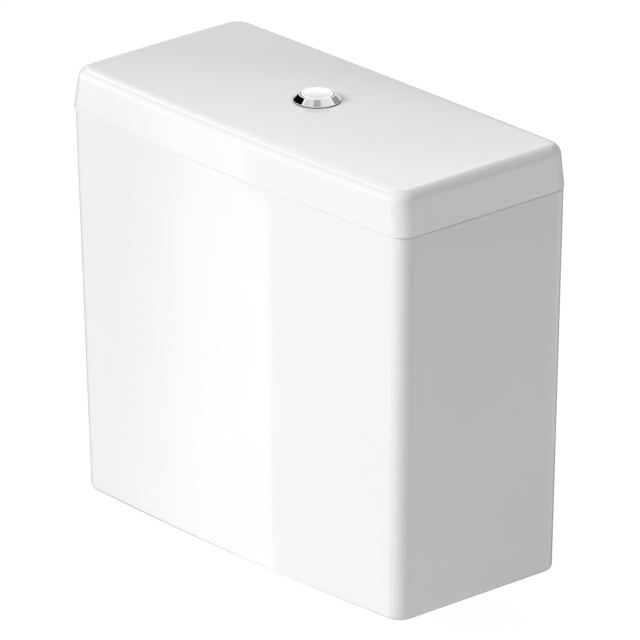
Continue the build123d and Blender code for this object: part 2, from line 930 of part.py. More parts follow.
# Float cup on the riser, with the rod and its two collars, stored at its lowest point
rod_x = lever_pivot_x + lever_arm
cup_top = cup_foot + cup_height
cup_bore = riser_radius + cup_clearance
lever_end_level = lever_pivot_level - lever_arm * lever_sine
lower_collar_level = lever_end_level - lever_pad_radius - running_gap - collar_height
upper_collar_level = lever_end_level + lever_pad_radius + running_gap
with BuildPart() as float_cup:
    add(
        profile(
            fill_plane,
            (
                (cup_bore, cup_foot),
                (cup_bore + cup_wall, cup_foot),
                (cup_bore + cup_wall, cup_top - cup_wall),
                (cup_radius - cup_wall, cup_top - cup_wall),
                (cup_radius - cup_wall, cup_foot),
                (cup_radius, cup_foot),
                (cup_radius, cup_top),
                (cup_bore, cup_top),
            ),
        )
    )
    revolve(axis=fill_axis)
    with BuildSketch(Plane.XY.offset(cup_top - cup_lug_height)):
        with Locations((inlet_x + cup_radius - cup_wall, 0)):
            Rectangle(rod_x - inlet_x - cup_radius + cup_wall, cup_lug_width, align=(Align.MIN, Align.CENTER))
    extrude(amount=cup_lug_height)
    with BuildSketch(Plane.XY.offset(cup_top - cup_boss_height)):
        with Locations((rod_x, 0)):
            Circle(cup_lug_width / 2)
    extrude(amount=cup_boss_height)
    with Locations((rod_x, 0, cup_top)):
        Hole(rod_radius, depth=cup_boss_height)
save(float_cup, "float_cup")

with BuildPart() as adjusting_rod:
    with BuildSketch(Plane(origin=(rod_x, 0, cup_top - rod_tail))):
        Circle(rod_radius)
    extrude(amount=upper_collar_level + collar_height + rod_head - cup_top + rod_tail)
save(adjusting_rod, "adjusting_rod")

with BuildPart() as rod_collars:
    for level in (lower_collar_level, upper_collar_level):
        add(ring(Plane(origin=(rod_x, 0, level)), collar_radius, rod_radius))
        extrude(amount=collar_height)
save(rod_collars, "rod_collars")

# Chrome bezel on the lid, coned up to the button
bezel_top = land_level + bezel_rim + bezel_cone
pocket_top = land_level + housing_flange
with BuildPart() as button_bezel:
    add(
        profile(
            Plane.XZ,
            (
                (bezel_radius, land_level),
                (bezel_radius, land_level + bezel_rim),
                (bezel_top_radius, bezel_top),
                (bezel_bore, bezel_top),
                (bezel_bore, pocket_top),
                (housing_flange_radius + fit_clearance, pocket_top),
                (housing_flange_radius + fit_clearance, land_level),
            ),
        )
    )
    revolve(axis=outlet_axis)
save(button_bezel, "button_bezel")

# Threaded housing of the button, with the washer and nut that hold it under the lid
housing_foot = land_level - housing_depth
with BuildPart() as button_housing:
    add(
        profile(
            Plane.XZ,
            (
                (stem_radius + stem_hole_clearance, housing_foot),
                (housing_radius, housing_foot),
                (housing_radius, land_level),
                (housing_flange_radius, land_level),
                (housing_flange_radius, pocket_top),
                (housing_bore, pocket_top),
                (housing_bore, housing_foot + housing_floor),
                (stem_radius + stem_hole_clearance, housing_foot + housing_floor),
            ),
        )
    )
    revolve(axis=outlet_axis)
save(button_housing, "button_housing")

with BuildPart() as housing_washer:
    add(
        ring(
            Plane.XY.offset(ceiling_level - housing_washer_thickness),
            housing_washer_radius,
            housing_radius + fit_clearance,
        )
    )
    extrude(amount=housing_washer_thickness)
save(housing_washer, "housing_washer")

with BuildPart() as housing_nut:
    add(
        hexagon_ring(
            Plane.XY.offset(ceiling_level - housing_washer_thickness),
            housing_nut_radius,
            housing_radius + fit_clearance,
        )
    )
    extrude(amount=-housing_nut_height)
save(housing_nut, "housing_nut")

# Push button: round cap with a stepped skirt that the bezel holds down
button_radius = bezel_bore - button_clearance
skirt_radius = housing_bore - button_clearance
button_top = bezel_top + button_proud
button_inside = button_top - button_cap
skirt_step = pocket_top - button_clearance
with BuildPart() as push_button:
    add(
        profile(
            Plane.XZ,
            (
                (0, button_top),
                (button_radius, button_top),
                (button_radius, skirt_step),
                (skirt_radius, skirt_step),
                (skirt_radius, land_level - button_skirt),
                (button_radius - button_wall, land_level - button_skirt),
                (button_radius - button_wall, button_inside),
                (0, button_inside),
            ),
        )
    )
    revolve(axis=outlet_axis)
    fillet(push_button.faces().sort_by(Axis.Z)[-1].edges(), button_edge_radius)
save(push_button, "push_button")

# Stem under the button, the threaded rod in its end, the locknut and the foot
with BuildPart() as button_stem:
    with BuildSketch(Plane.XY.offset(stem_foot)):
        Circle(stem_radius)
    extrude(amount=button_inside - stem_foot)
    with BuildSketch(Plane.XY.offset(stem_foot)):
        Circle(push_rod_radius)
    extrude(amount=stem_socket, mode=Mode.SUBTRACT)
save(button_stem, "button_stem")

foot_level = pivot_level + inner_arm * tilt_sine + rocker_end_radius + running_gap
rod_end = foot_level + foot_thickness / 2
with BuildPart() as push_rod:
    with BuildSketch(Plane.XY.offset(rod_end)):
        Circle(push_rod_radius)
    extrude(amount=stem_foot + stem_socket - rod_end)
save(push_rod, "push_rod")

with BuildPart() as rod_locknut:
    add(hexagon_ring(Plane.XY.offset(stem_foot), locknut_radius, push_rod_radius))
    extrude(amount=-locknut_height)
save(rod_locknut, "rod_locknut")

with BuildPart() as rod_foot:
    with BuildSketch(Plane.XY.offset(foot_level)):
        Circle(foot_radius)
    extrude(amount=foot_thickness)
    with BuildSketch(Plane.XY.offset(foot_level + foot_thickness)):
        Circle(foot_hub_radius)
    extrude(amount=foot_hub_height)
    with BuildSketch(Plane.XY.offset(rod_end)):
        Circle(push_rod_radius)
    extrude(amount=foot_thickness + foot_hub_height, mode=Mode.SUBTRACT)
save(rod_foot, "rod_foot")


def coil_point(angle, foot, rise):
    """Point on the spring's centre line and its direction there."""
    place = Vector(
        spring_radius * math.cos(angle),
        spring_radius * math.sin(angle),
        foot + rise * angle,
    )
    along = Vector(-spring_radius * math.sin(angle), spring_radius * math.cos(angle), rise)
    return place, along.normalized()


def coil_joint(start, start_along, end, end_along):
    """Point and direction where the two arcs of a quarter turn meet."""
    chord = end - start
    both = start_along + end_along
    square = both.dot(both) - 4
    half = chord.dot(both)
    reach = (half - math.sqrt(half * half - square * chord.dot(chord))) / square
    first = start + start_along * reach
    second = end - end_along * reach
    return (first + second) * 0.5, (second - first).normalized()


# Return spring of the button: one wire wound in quarter turns, each of two tangent arcs
spring_foot = housing_foot + housing_floor + spring_wire + spring_end_gap
spring_head = button_inside - spring_wire - spring_end_gap
quarter_turns = 4 * spring_turns
quarter = math.pi / 2
coil_rise = (spring_head - spring_foot) / (quarter_turns * quarter)
with BuildPart() as button_spring:
    with BuildLine() as coil:
        for count in range(quarter_turns):
            begin, begin_along = coil_point(count * quarter, spring_foot, coil_rise)
            finish, finish_along = coil_point((count + 1) * quarter, spring_foot, coil_rise)
            middle, middle_along = coil_joint(begin, begin_along, finish, finish_along)
            TangentArc(begin, middle, tangent=begin_along)
            TangentArc(middle, finish, tangent=middle_along)
    with BuildSketch(Plane(origin=coil.wire() @ 0, z_dir=coil.wire() % 0)):
        Circle(spring_wire)
    sweep(path=coil.wire())
save(button_spring, "button_spring")

print("spring turn gap", round(2 * math.pi * coil_rise - 2 * spring_wire, 3))
print("button travel", round(button_travel, 3))
print("valve travel", round(valve_travel, 3))
print("float travel", round(float_travel, 3))
print("land level", round(land_level, 3))
print("inlet place", round(inlet_x, 3))
print("lever pivot", round(lever_pivot_x, 3), round(lever_pivot_level, 3))
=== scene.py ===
"""Looks of a close-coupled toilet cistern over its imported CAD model.

The ceramic shell, the chrome button, its return spring, the threaded pieces and the nuts
are drawn again as finer meshes in the places of their CAD nodes. Every other node keeps
its shape and gets softened edges and a material of its own. Lengths are in metres, in
the frame of the CAD.
"""

import json
import logging
import math
from collections.abc import Callable, Iterable, Mapping, Sequence
from dataclasses import dataclass, field
from enum import Enum

import bpy
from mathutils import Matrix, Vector

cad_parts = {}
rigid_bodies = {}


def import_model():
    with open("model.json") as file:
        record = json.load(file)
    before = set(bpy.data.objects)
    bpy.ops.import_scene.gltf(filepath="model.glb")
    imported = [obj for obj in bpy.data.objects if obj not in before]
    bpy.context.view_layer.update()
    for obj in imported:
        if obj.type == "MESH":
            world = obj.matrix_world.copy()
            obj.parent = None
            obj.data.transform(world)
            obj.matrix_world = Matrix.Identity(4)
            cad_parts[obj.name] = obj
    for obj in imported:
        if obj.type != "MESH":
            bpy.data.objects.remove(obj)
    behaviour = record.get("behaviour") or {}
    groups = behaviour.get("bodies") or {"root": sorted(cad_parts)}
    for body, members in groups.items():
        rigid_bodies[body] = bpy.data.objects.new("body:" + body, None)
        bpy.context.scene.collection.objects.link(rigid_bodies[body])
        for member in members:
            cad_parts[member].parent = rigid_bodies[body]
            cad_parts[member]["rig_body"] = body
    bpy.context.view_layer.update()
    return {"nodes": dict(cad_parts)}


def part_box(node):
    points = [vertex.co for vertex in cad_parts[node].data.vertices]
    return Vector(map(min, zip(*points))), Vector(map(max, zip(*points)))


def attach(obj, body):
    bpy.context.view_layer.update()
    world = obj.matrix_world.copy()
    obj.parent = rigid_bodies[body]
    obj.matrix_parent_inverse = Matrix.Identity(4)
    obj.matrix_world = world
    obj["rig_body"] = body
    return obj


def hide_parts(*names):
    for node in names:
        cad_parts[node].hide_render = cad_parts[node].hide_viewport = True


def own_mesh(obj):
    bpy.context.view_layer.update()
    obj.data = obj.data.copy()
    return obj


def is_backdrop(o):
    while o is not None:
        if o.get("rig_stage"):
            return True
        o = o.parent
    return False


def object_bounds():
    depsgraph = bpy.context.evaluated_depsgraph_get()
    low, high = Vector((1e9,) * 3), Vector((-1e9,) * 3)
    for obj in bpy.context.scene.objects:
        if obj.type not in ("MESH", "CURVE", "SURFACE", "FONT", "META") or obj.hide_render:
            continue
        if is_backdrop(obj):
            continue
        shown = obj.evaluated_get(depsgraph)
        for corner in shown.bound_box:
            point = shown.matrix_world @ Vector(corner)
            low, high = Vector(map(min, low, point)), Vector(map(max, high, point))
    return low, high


log = logging.getLogger("cistern")

MM = 0.001
ORIGIN = Vector((0.0, 0.0, 0.0)).freeze()

# Angles in degrees over which an edge stays sharp, by the kind of piece
PLAIN_SHARP = 38.0
THREAD_SHARP = 50.0
FINE_SHARP = 60.0
NUT_SHARP = 25.0

Color = tuple[float, float, float]
Coords = tuple[float, float, float]
Span = tuple[float, float]
Section = list[tuple[float, float]]
Stops = tuple[tuple[float, float], ...]
Loop = list[Vector]
RadialShape = Callable[[float, float, float], float]
Piece = bpy.types.Object
Node = bpy.types.Node
Tree = bpy.types.NodeTree
Socket = bpy.types.NodeSocket
Sockets = Mapping[str, Socket]
Values = dict[str | int, object]


# Drawing of meshes


@dataclass(frozen=True)
class Corner:
    """One corner of a section, with the radius that eases it."""

    across: float
    level: float
    easing: float = 0.0

    @property
    def place(self) -> Vector:
        """Place of the corner in the section's plane."""
        return Vector((self.across, self.level))


def eased(corners: Sequence[Corner], closed: bool = False, steps: int = 4) -> Section:
    """Draw a section whose corners are rounded by arcs.

    Args:
        corners: Corners in order, outer side going up.
        closed: Whether the last corner joins the first.
        steps: Facets of each arc.

    Returns:
        Points of the section, each as its distance across and its level.
    """
    path: Section = []
    for index, corner in enumerate(corners):
        at_end = not closed and index in (0, len(corners) - 1)
        if at_end or corner.easing == 0:
            path.append((corner.across, corner.level))
            continue
        here = corner.place
        back = (corners[index - 1].place - here).normalized()
        ahead = (corners[(index + 1) % len(corners)].place - here).normalized()
        half = back.angle(ahead) / 2
        centre = here + (back + ahead).normalized() * (corner.easing / math.sin(half))
        reach = corner.easing / math.tan(half)
        first = here + back * reach - centre
        last = here + ahead * reach - centre
        for step in range(steps + 1):
            point = centre + first.slerp(last, step / steps).normalized() * corner.easing
            path.append((point.x, point.y))
    return path


@dataclass
class Skin:
    """Mesh drawn as loops of points that are bridged one to the next."""

    points: list[Vector] = field(default_factory=list)
    faces: list[tuple[int, ...]] = field(default_factory=list)
    slots: list[int] = field(default_factory=list)

    def loop(self, points: Iterable[Vector]) -> range:
        """Add one loop of points.

        Args:
            points: Points of the loop in order.

        Returns:
            Their numbers.
        """
        first = len(self.points)
        self.points.extend(points)
        return range(first, len(self.points))

    def face(self, corners: tuple[int, ...], slot: int) -> None:
        """Add one face with the number of its material."""
        self.faces.append(corners)
        self.slots.append(slot)

    def bridge(self, first: range, second: range, slot: int = 0) -> None:
        """Join two loops with faces; a loop of one point is a pole.

        Args:
            first: Lower or outer loop.
            second: Loop that follows it.
            slot: Material of the faces.
        """
        count = max(len(first), len(second))
        for step in range(count):
            after = (step + 1) % count
            if len(first) == 1:
                self.face((first[0], second[after], second[step]), slot)
            elif len(second) == 1:
                self.face((first[step], first[after], second[0]), slot)
            else:
                self.face((first[step], first[after], second[after], second[step]), slot)

    def chain(
        self, loops: Sequence[Iterable[Vector]], closed: bool = False, slot: int = 0
    ) -> list[range]:
        """Bridge a row of loops.

        Args:
            loops: Loops in order.
            closed: Whether the last loop is bridged to the first.
            slot: Material of the faces.

        Returns:
            The numbers of each loop's points.
        """
        rows = [self.loop(points) for points in loops]
        for lower, upper in zip(rows, rows[1:]):
            self.bridge(lower, upper, slot)
        if closed:
            self.bridge(rows[-1], rows[0], slot)
        return rows

    def piece(self, name: str, sharp_angle: float = PLAIN_SHARP) -> Piece:
        """Make the object, shaded smooth between its sharp edges.

        Args:
            name: Name of the object.
            sharp_angle: Angle in degrees over which an edge stays sharp.

        Returns:
            The new object, linked to the scene.
        """
        mesh = bpy.data.meshes.new(name)
        mesh.from_pydata(self.points, [], self.faces)
        mesh.polygons.foreach_set("material_index", self.slots)
        mesh.shade_smooth()
        mesh.set_sharp_from_angle(angle=math.radians(sharp_angle))
        mesh.validate()
        made = bpy.data.objects.new(name, mesh)
        bpy.context.scene.collection.objects.link(made)
        return made


def circle(
    radius: float, level: float, centre: Vector, sides: int, shape: RadialShape | None
) -> Loop:
    """Draw one level circle, or a single point where its radius is zero.

    Args:
        radius: Radius of the circle.
        level: Height of the circle.
        centre: Point on the axis.
        sides: Count of points.
        shape: Changes the radius by angle, radius and level.

    Returns:
        Points counterclockwise as seen from above.
    """
    if radius == 0:
        return [Vector((centre.x, centre.y, level))]
    loop = []
    for step in range(sides):
        angle = step * math.tau / sides
        reach = shape(angle, radius, level) if shape else radius
        x, y = centre.x + reach * math.cos(angle), centre.y + reach * math.sin(angle)
        loop.append(Vector((x, y, level)))
    return loop


def turned(
    name: str,
    section: Section,
    centres: Sequence[Vector] = (ORIGIN,),
    sides: int = 72,
    shape: RadialShape | None = None,
    sharp_angle: float = PLAIN_SHARP,
) -> Piece:
    """Turn a section about one upright axis, or about several.

    Args:
        name: Name of the piece.
        section: Radius and level of each point, outer side going up.
        centres: A point on each axis.
        sides: Points round an axis.
        shape: Changes the radius by angle, radius and level.
        sharp_angle: Angle in degrees over which an edge stays sharp.

    Returns:
        The piece.
    """
    skin = Skin()
    solid = section[0][0] == 0 and section[-1][0] == 0
    for centre in centres:
        loops = [circle(radius, level, centre, sides, shape) for radius, level in section]
        skin.chain(loops, closed=not solid)
    return skin.piece(name, sharp_angle)


@dataclass(frozen=True)
class Hexagon:
    """Outside of a nut or a bolt's head: six flats, chamfered at both ends."""

    apothem: float
    chamfer: float
    low: float
    high: float

    def stretch(self, foot: float, height: float, rows: int) -> Section:
        """Rows at the corners' radius, close enough together to carry the chamfers."""
        corner = self.apothem / math.cos(math.tau / 12)
        return [(corner, foot + height * row / rows) for row in range(rows + 1)]

    def shape(self, angle: float, radius: float, level: float) -> float:
        """Bring radii of the apothem and over to the flats; others stay as they are.

        Args:
            angle: Angle round the axis.
            radius: Radius of the section.
            level: Height of the point.

        Returns:
            Distance of the surface from the axis.
        """
        if radius < self.apothem:
            return radius
        sixth = math.tau / 6
        flat = self.apothem / math.cos((angle % sixth) - sixth / 2)
        depth = min(level - self.low, self.high - level)
        return min(flat, self.apothem + self.chamfer + depth * math.sqrt(3))


@dataclass(frozen=True)
class Thread:
    """Outer thread of a turned piece."""

    crest: float
    pitch: float
    depth: float
    rows: int = 8
    sides: int = 72
    sharp_angle: float = THREAD_SHARP
    flank: float = 2.6
    crest_share: float = 0.8

    @property
    def root(self) -> float:
        """Radius at the bottom of the thread."""
        return self.crest - self.depth

    def stretch(self, low: float, high: float) -> Section:
        """Rows at the crest's radius, close enough together to carry the thread."""
        count = max(1, math.ceil((high - low) / (self.pitch / self.rows)))
        return [(self.crest, low + (high - low) * row / count) for row in range(count + 1)]

    def shape(self, angle: float, radius: float, level: float) -> float:
        """Cut the thread into radii of the crest; others stay as they are.

        Args:
            angle: Angle round the axis.
            radius: Radius of the section.
            level: Height of the point.

        Returns:
            Distance of the surface from the axis.
        """
        if abs(radius - self.crest) > self.depth / 10:
            return radius
        phase = (level / self.pitch - angle / math.tau) % 1.0
        cut = self.flank * abs(2 * phase - 1) - self.crest_share
        return radius - self.depth * min(1.0, max(0.0, cut))

    def turned(self, name: str, section: Section, centre: Vector = ORIGIN) -> Piece:
        """Turn a section that carries the thread."""
        return turned(name, section, (centre,), self.sides, self.shape, self.sharp_angle)

    def shank(self, low: float, foot: float, run_out: float) -> Section:
        """Rows of a shank that is threaded up to a short run-out under a flange."""
        end = foot - run_out
        return [*self.stretch(low, end), (self.root, end), (self.root, foot)]


@dataclass(frozen=True)
class NutSizes:
    """Measures of a chamfered hexagon nut."""

    apothem: float
    bore: float
    chamfer: float = 0.9 * MM
    bore_edge: float = 0.6 * MM
    face_step: float = 0.1 * MM
    rows: int = 8
    sides: int = 96


def hexagon_nut(
    name: str, box: tuple[Vector, Vector], sizes: NutSizes, centre: Vector = ORIGIN
) -> Piece:
    """Build a chamfered hexagon nut.

    Args:
        name: Name of the piece.
        box: Corners of its CAD node's box.
        sizes: Its measures.
        centre: Point on its axis.

    Returns:
        The nut.
    """
    low, high = box[0].z, box[1].z
    flats = Hexagon(sizes.apothem, sizes.chamfer, low, high)
    face = sizes.apothem - sizes.face_step
    section = [
        (sizes.bore, low + sizes.bore_edge),
        (sizes.bore + sizes.bore_edge, low),
        (face, low),
        *flats.stretch(low, high - low, sizes.rows),
        (face, high),
        (sizes.bore + sizes.bore_edge, high),
        (sizes.bore, high - sizes.bore_edge),
    ]
    return turned(name, section, (centre,), sizes.sides, flats.shape, NUT_SHARP)


# Finishes


class FinishKind(Enum):
    """How a surface is made, which settles the shader's plain values."""

    GLAZED = "glazed ceramic"
    FIRED = "raw fired clay"
    CHROMED = "polished chrome"
    MOULDED = "moulded plastic"
    RUBBERY = "solid rubber"
    FOAMED = "foam rubber"
    TURNED = "turned metal"


@dataclass(frozen=True)
class Finish:
    """Look of one material of the cistern."""

    name: str
    slot: str
    kind: FinishKind
    light: Color
    dark: Color
    mottle_scale: float
    smooth: float
    rough: float
    scuff_scale: float
    grain_scale: float
    fine_scale: float
    grain_height: float
    speck_scale: float = 0.0
    speck_share: float = 0.0
    speck_color: Color = (1.0, 1.0, 1.0)


PLAIN_VALUES: dict[FinishKind, Values] = {
    FinishKind.GLAZED: {"IOR": 1.52},
    FinishKind.FIRED: {"IOR": 1.42},
    FinishKind.CHROMED: {"Metallic": 1.0},
    FinishKind.MOULDED: {"IOR": 1.47},
    FinishKind.RUBBERY: {"IOR": 1.42},
    FinishKind.FOAMED: {"IOR": 1.42},
    FinishKind.TURNED: {"Metallic": 1.0},
}

FLOAT = "NodeSocketFloat"
COLOR = "NodeSocketColor"
WHITE = (1.0, 1.0, 1.0, 1.0)

# Kind of a mix node, the numbers of its two inputs and of its output
FLOAT_MIX = ("FLOAT", 2, 3, 0)
COLOR_MIX = ("RGBA", 6, 7, 2)


class Bench:
    """Places nodes in one tree and wires them; a value is a plain one or a socket."""

    def __init__(self, tree: Tree) -> None:
        """Clear the tree and keep it."""
        self.tree = tree
        self.tree.nodes.clear()

    def feed(self, value: object, target: Socket) -> None:
        """Link a socket to an input, or give the input its plain value.

        Args:
            value: The socket or plain value.
            target: The input.
        """
        if isinstance(value, Socket):
            self.tree.links.new(value, target)
        else:
            target.default_value = value

    def place(self, kind: str, values: Values | None = None, **settings: object) -> Node:
        """Place a node.

        Args:
            kind: What follows "ShaderNode" in Blender's name of the node type.
            values: Values for its inputs, by name or number.
            settings: Values for its own properties.

        Returns:
            The node.
        """
        node = self.tree.nodes.new("ShaderNode" + kind)
        for key, value in settings.items():
            setattr(node, key, value)
        for key, value in (values or {}).items():
            self.feed(value, node.inputs[key])
        return node

    def group(self, tree: Tree, values: Values) -> Sockets:
        """Place a shared effect with its own values and give its outputs."""
        return self.place("Group", values, node_tree=tree).outputs

    def math(self, operation: str, first: object, second: object) -> Socket:
        """Combine two values with a math node."""
        return self.place("Math", {0: first, 1: second}, operation=operation).outputs[0]

    def noise(self, scale: Socket, values: Values, place: Socket | None = None) -> Socket:
        """Place a noise.

        Args:
            scale: Scale of the noise.
            values: Values for its other inputs, by name.
            place: Where the noise is read, or nothing for the place on the object.

        Returns:
            The noise, from zero to one.
        """
        if place is None:
            place = self.place("TexCoord").outputs["Object"]
        return self.place("TexNoise", {"Vector": place, "Scale": scale, **values}).outputs[0]

    def blended(
        self, share: Socket, first: object, second: object, colored: bool = False
    ) -> Socket:
        """Blend two numbers or two colours.

        Args:
            share: Share of the second.
            first: The first number or colour.
            second: The second number or colour.
            colored: Whether they are colours.

        Returns:
            The blend.
        """
        kind, first_input, second_input, result = COLOR_MIX if colored else FLOAT_MIX
        values = {0: share, first_input: first, second_input: second}
        return self.place("Mix", values, data_type=kind).outputs[result]

    def between(self, value: Socket, start: float, end: float) -> Socket:
        """Smooth share from zero at the start to one at the end."""
        values = {"Value": value, "From Min": start, "From Max": end}
        return self.place("MapRange", values, interpolation_type="SMOOTHSTEP").outputs[0]

    def beyond(self, place: Socket, start: Coords, way: Coords) -> Socket:
        """Measure how far a place lies from a start.

        Args:
            place: The place.
            start: Where the measure starts.
            way: Direction of the measure.

        Returns:
            The distance along the direction.
        """
        offset = self.place("VectorMath", {0: place, 1: start}, operation="SUBTRACT")
        values = {0: offset.outputs[0], 1: way}
        return self.place("VectorMath", values, operation="DOT_PRODUCT").outputs["Value"]

    def ramp(self, along: Socket, stops: Stops, peak: float) -> Socket:
        """Brightness by stops.

        Args:
            along: Where on the ramp a point lies.
            stops: Place and brightness of each stop.
            peak: Brightness that the ramp's white stands for.

        Returns:
            The brightness.
        """
        node = self.place("ValToRGB", {0: along})
        made = node.color_ramp.elements
        while len(made) < len(stops):
            made.new(0.5)
        for stop, (at, level) in zip(made, stops):
            stop.position = at
            stop.color = (level / peak, level / peak, level / peak, 1.0)
        return self.math("MULTIPLY", node.outputs[0], peak)

    def seen(self) -> tuple[Socket, Socket]:
        """Tell the rays that see the studio from those that light it.

        Returns:
            Whether a ray comes from the camera, a mirror or a clear surface, and whether
            it comes from a mirror.
        """
        rays = self.place("LightPath").outputs
        seen = self.math("MAXIMUM", rays["Is Camera Ray"], rays["Is Glossy Ray"])
        seen = self.math("MAXIMUM", seen, rays["Is Transmission Ray"])
        return seen, rays["Is Glossy Ray"]


@dataclass(frozen=True)
class EffectPlan:
    """Numbers of the shared effects."""

    mottle_span: Span = (0.36, 0.64)
    scratch_turn: Coords = (0.4, 0.7, 0.9)
    scratch_stretch: Coords = (1.0, 14.0, 14.0)
    smear_share: float = 0.7
    scratch_share: float = 0.3
    scuff_span: Span = (0.3, 0.75)
    fine_share: float = 0.06


class Effects:
    """Node groups that several materials share, each built once."""

    plan = EffectPlan()

    def __init__(self) -> None:
        """Build the groups."""
        self.mottle = self.build_mottle()
        self.scuffs = self.build_scuffs()
        self.grain = self.build_grain()
        self.specks = self.build_specks()

    @staticmethod
    def start(
        name: str, inputs: dict[str, str], outputs: dict[str, str]
    ) -> tuple[Bench, Sockets, Sockets]:
        """Start a group with named sockets.

        Args:
            name: Name of the group.
            inputs: Socket type of each input by name.
            outputs: Socket type of each output by name.

        Returns:
            The bench of its tree, what it is given and what it has to make.
        """
        tree = bpy.data.node_groups.new(name, "ShaderNodeTree")
        for way, sockets in (("INPUT", inputs), ("OUTPUT", outputs)):
            for socket, kind in sockets.items():
                tree.interface.new_socket(socket, in_out=way, socket_type=kind)
        bench = Bench(tree)
        given = tree.nodes.new("NodeGroupInput").outputs
        return bench, given, tree.nodes.new("NodeGroupOutput").inputs

    def build_mottle(self) -> Tree:
        """Build the slow drift between two tones of one colour.

        Returns:
            The group.
        """
        bench, given, made = self.start(
            "Mottle", {"Scale": FLOAT, "Light": COLOR, "Dark": COLOR}, {"Color": COLOR}
        )
        noise = bench.noise(given["Scale"], {"Detail": 3.0, "Roughness": 0.5})
        share = bench.between(noise, *self.plan.mottle_span)
        tone = bench.blended(share, given["Light"], given["Dark"], colored=True)
        bench.feed(tone, made["Color"])
        return bench.tree

    def build_scuffs(self) -> Tree:
        """Build the roughness that varies with handling marks and fine scratches.

        Returns:
            The group.
        """
        bench, given, made = self.start(
            "Scuffs", {"Scale": FLOAT, "Smooth": FLOAT, "Rough": FLOAT}, {"Roughness": FLOAT}
        )
        plan = self.plan
        smear_values = {"Detail": 5.0, "Roughness": 0.62, "Distortion": 0.6}
        smear = bench.noise(given["Scale"], smear_values)
        stretched = bench.place("Mapping", {
            "Vector": bench.place("TexCoord").outputs["Object"],
            "Rotation": plan.scratch_turn,
            "Scale": plan.scratch_stretch,
        })
        scratch = bench.noise(given["Scale"], {"Detail": 2.0}, stretched.outputs[0])
        smear = bench.math("MULTIPLY", smear, plan.smear_share)
        scratch = bench.math("MULTIPLY", scratch, plan.scratch_share)
        spread = bench.place("MapRange", {
            "Value": bench.math("ADD", smear, scratch),
            "From Min": plan.scuff_span[0],
            "From Max": plan.scuff_span[1],
            "To Min": given["Smooth"],
            "To Max": given["Rough"],
        })
        bench.feed(spread.outputs[0], made["Roughness"])
        return bench.tree

    def build_grain(self) -> Tree:
        """Build the relief of a surface: a slow wave under a fine texture.

        Returns:
            The group.
        """
        bench, given, made = self.start(
            "Grain", {"Wave Scale": FLOAT, "Fine Scale": FLOAT}, {"Height": FLOAT}
        )
        wave = bench.noise(given["Wave Scale"], {"Detail": 1.0})
        fine = bench.noise(given["Fine Scale"], {"Detail": 2.0, "Roughness": 0.6})
        height = bench.math("ADD", wave, bench.math("MULTIPLY", fine, self.plan.fine_share))
        bench.feed(height, made["Height"])
        return bench.tree

    def build_specks(self) -> Tree:
        """Build the small separate specks of another colour.

        Returns:
            The group.
        """
        bench, given, made = self.start(
            "Specks",
            {"Scale": FLOAT, "Share": FLOAT, "Ground": COLOR, "Speck": COLOR},
            {"Color": COLOR, "Mask": FLOAT},
        )
        place = bench.place("TexCoord").outputs["Object"]
        cells = bench.place("TexVoronoi", {"Vector": place, "Scale": given["Scale"]})
        near = bench.place("MapRange", {
            "Value": cells.outputs["Distance"],
            "From Max": given["Share"],
            "To Min": 1.0,
            "To Max": 0.0,
        }).outputs[0]
        tone = bench.blended(near, given["Ground"], given["Speck"], colored=True)
        bench.feed(tone, made["Color"])
        bench.feed(near, made["Mask"])
        return bench.tree


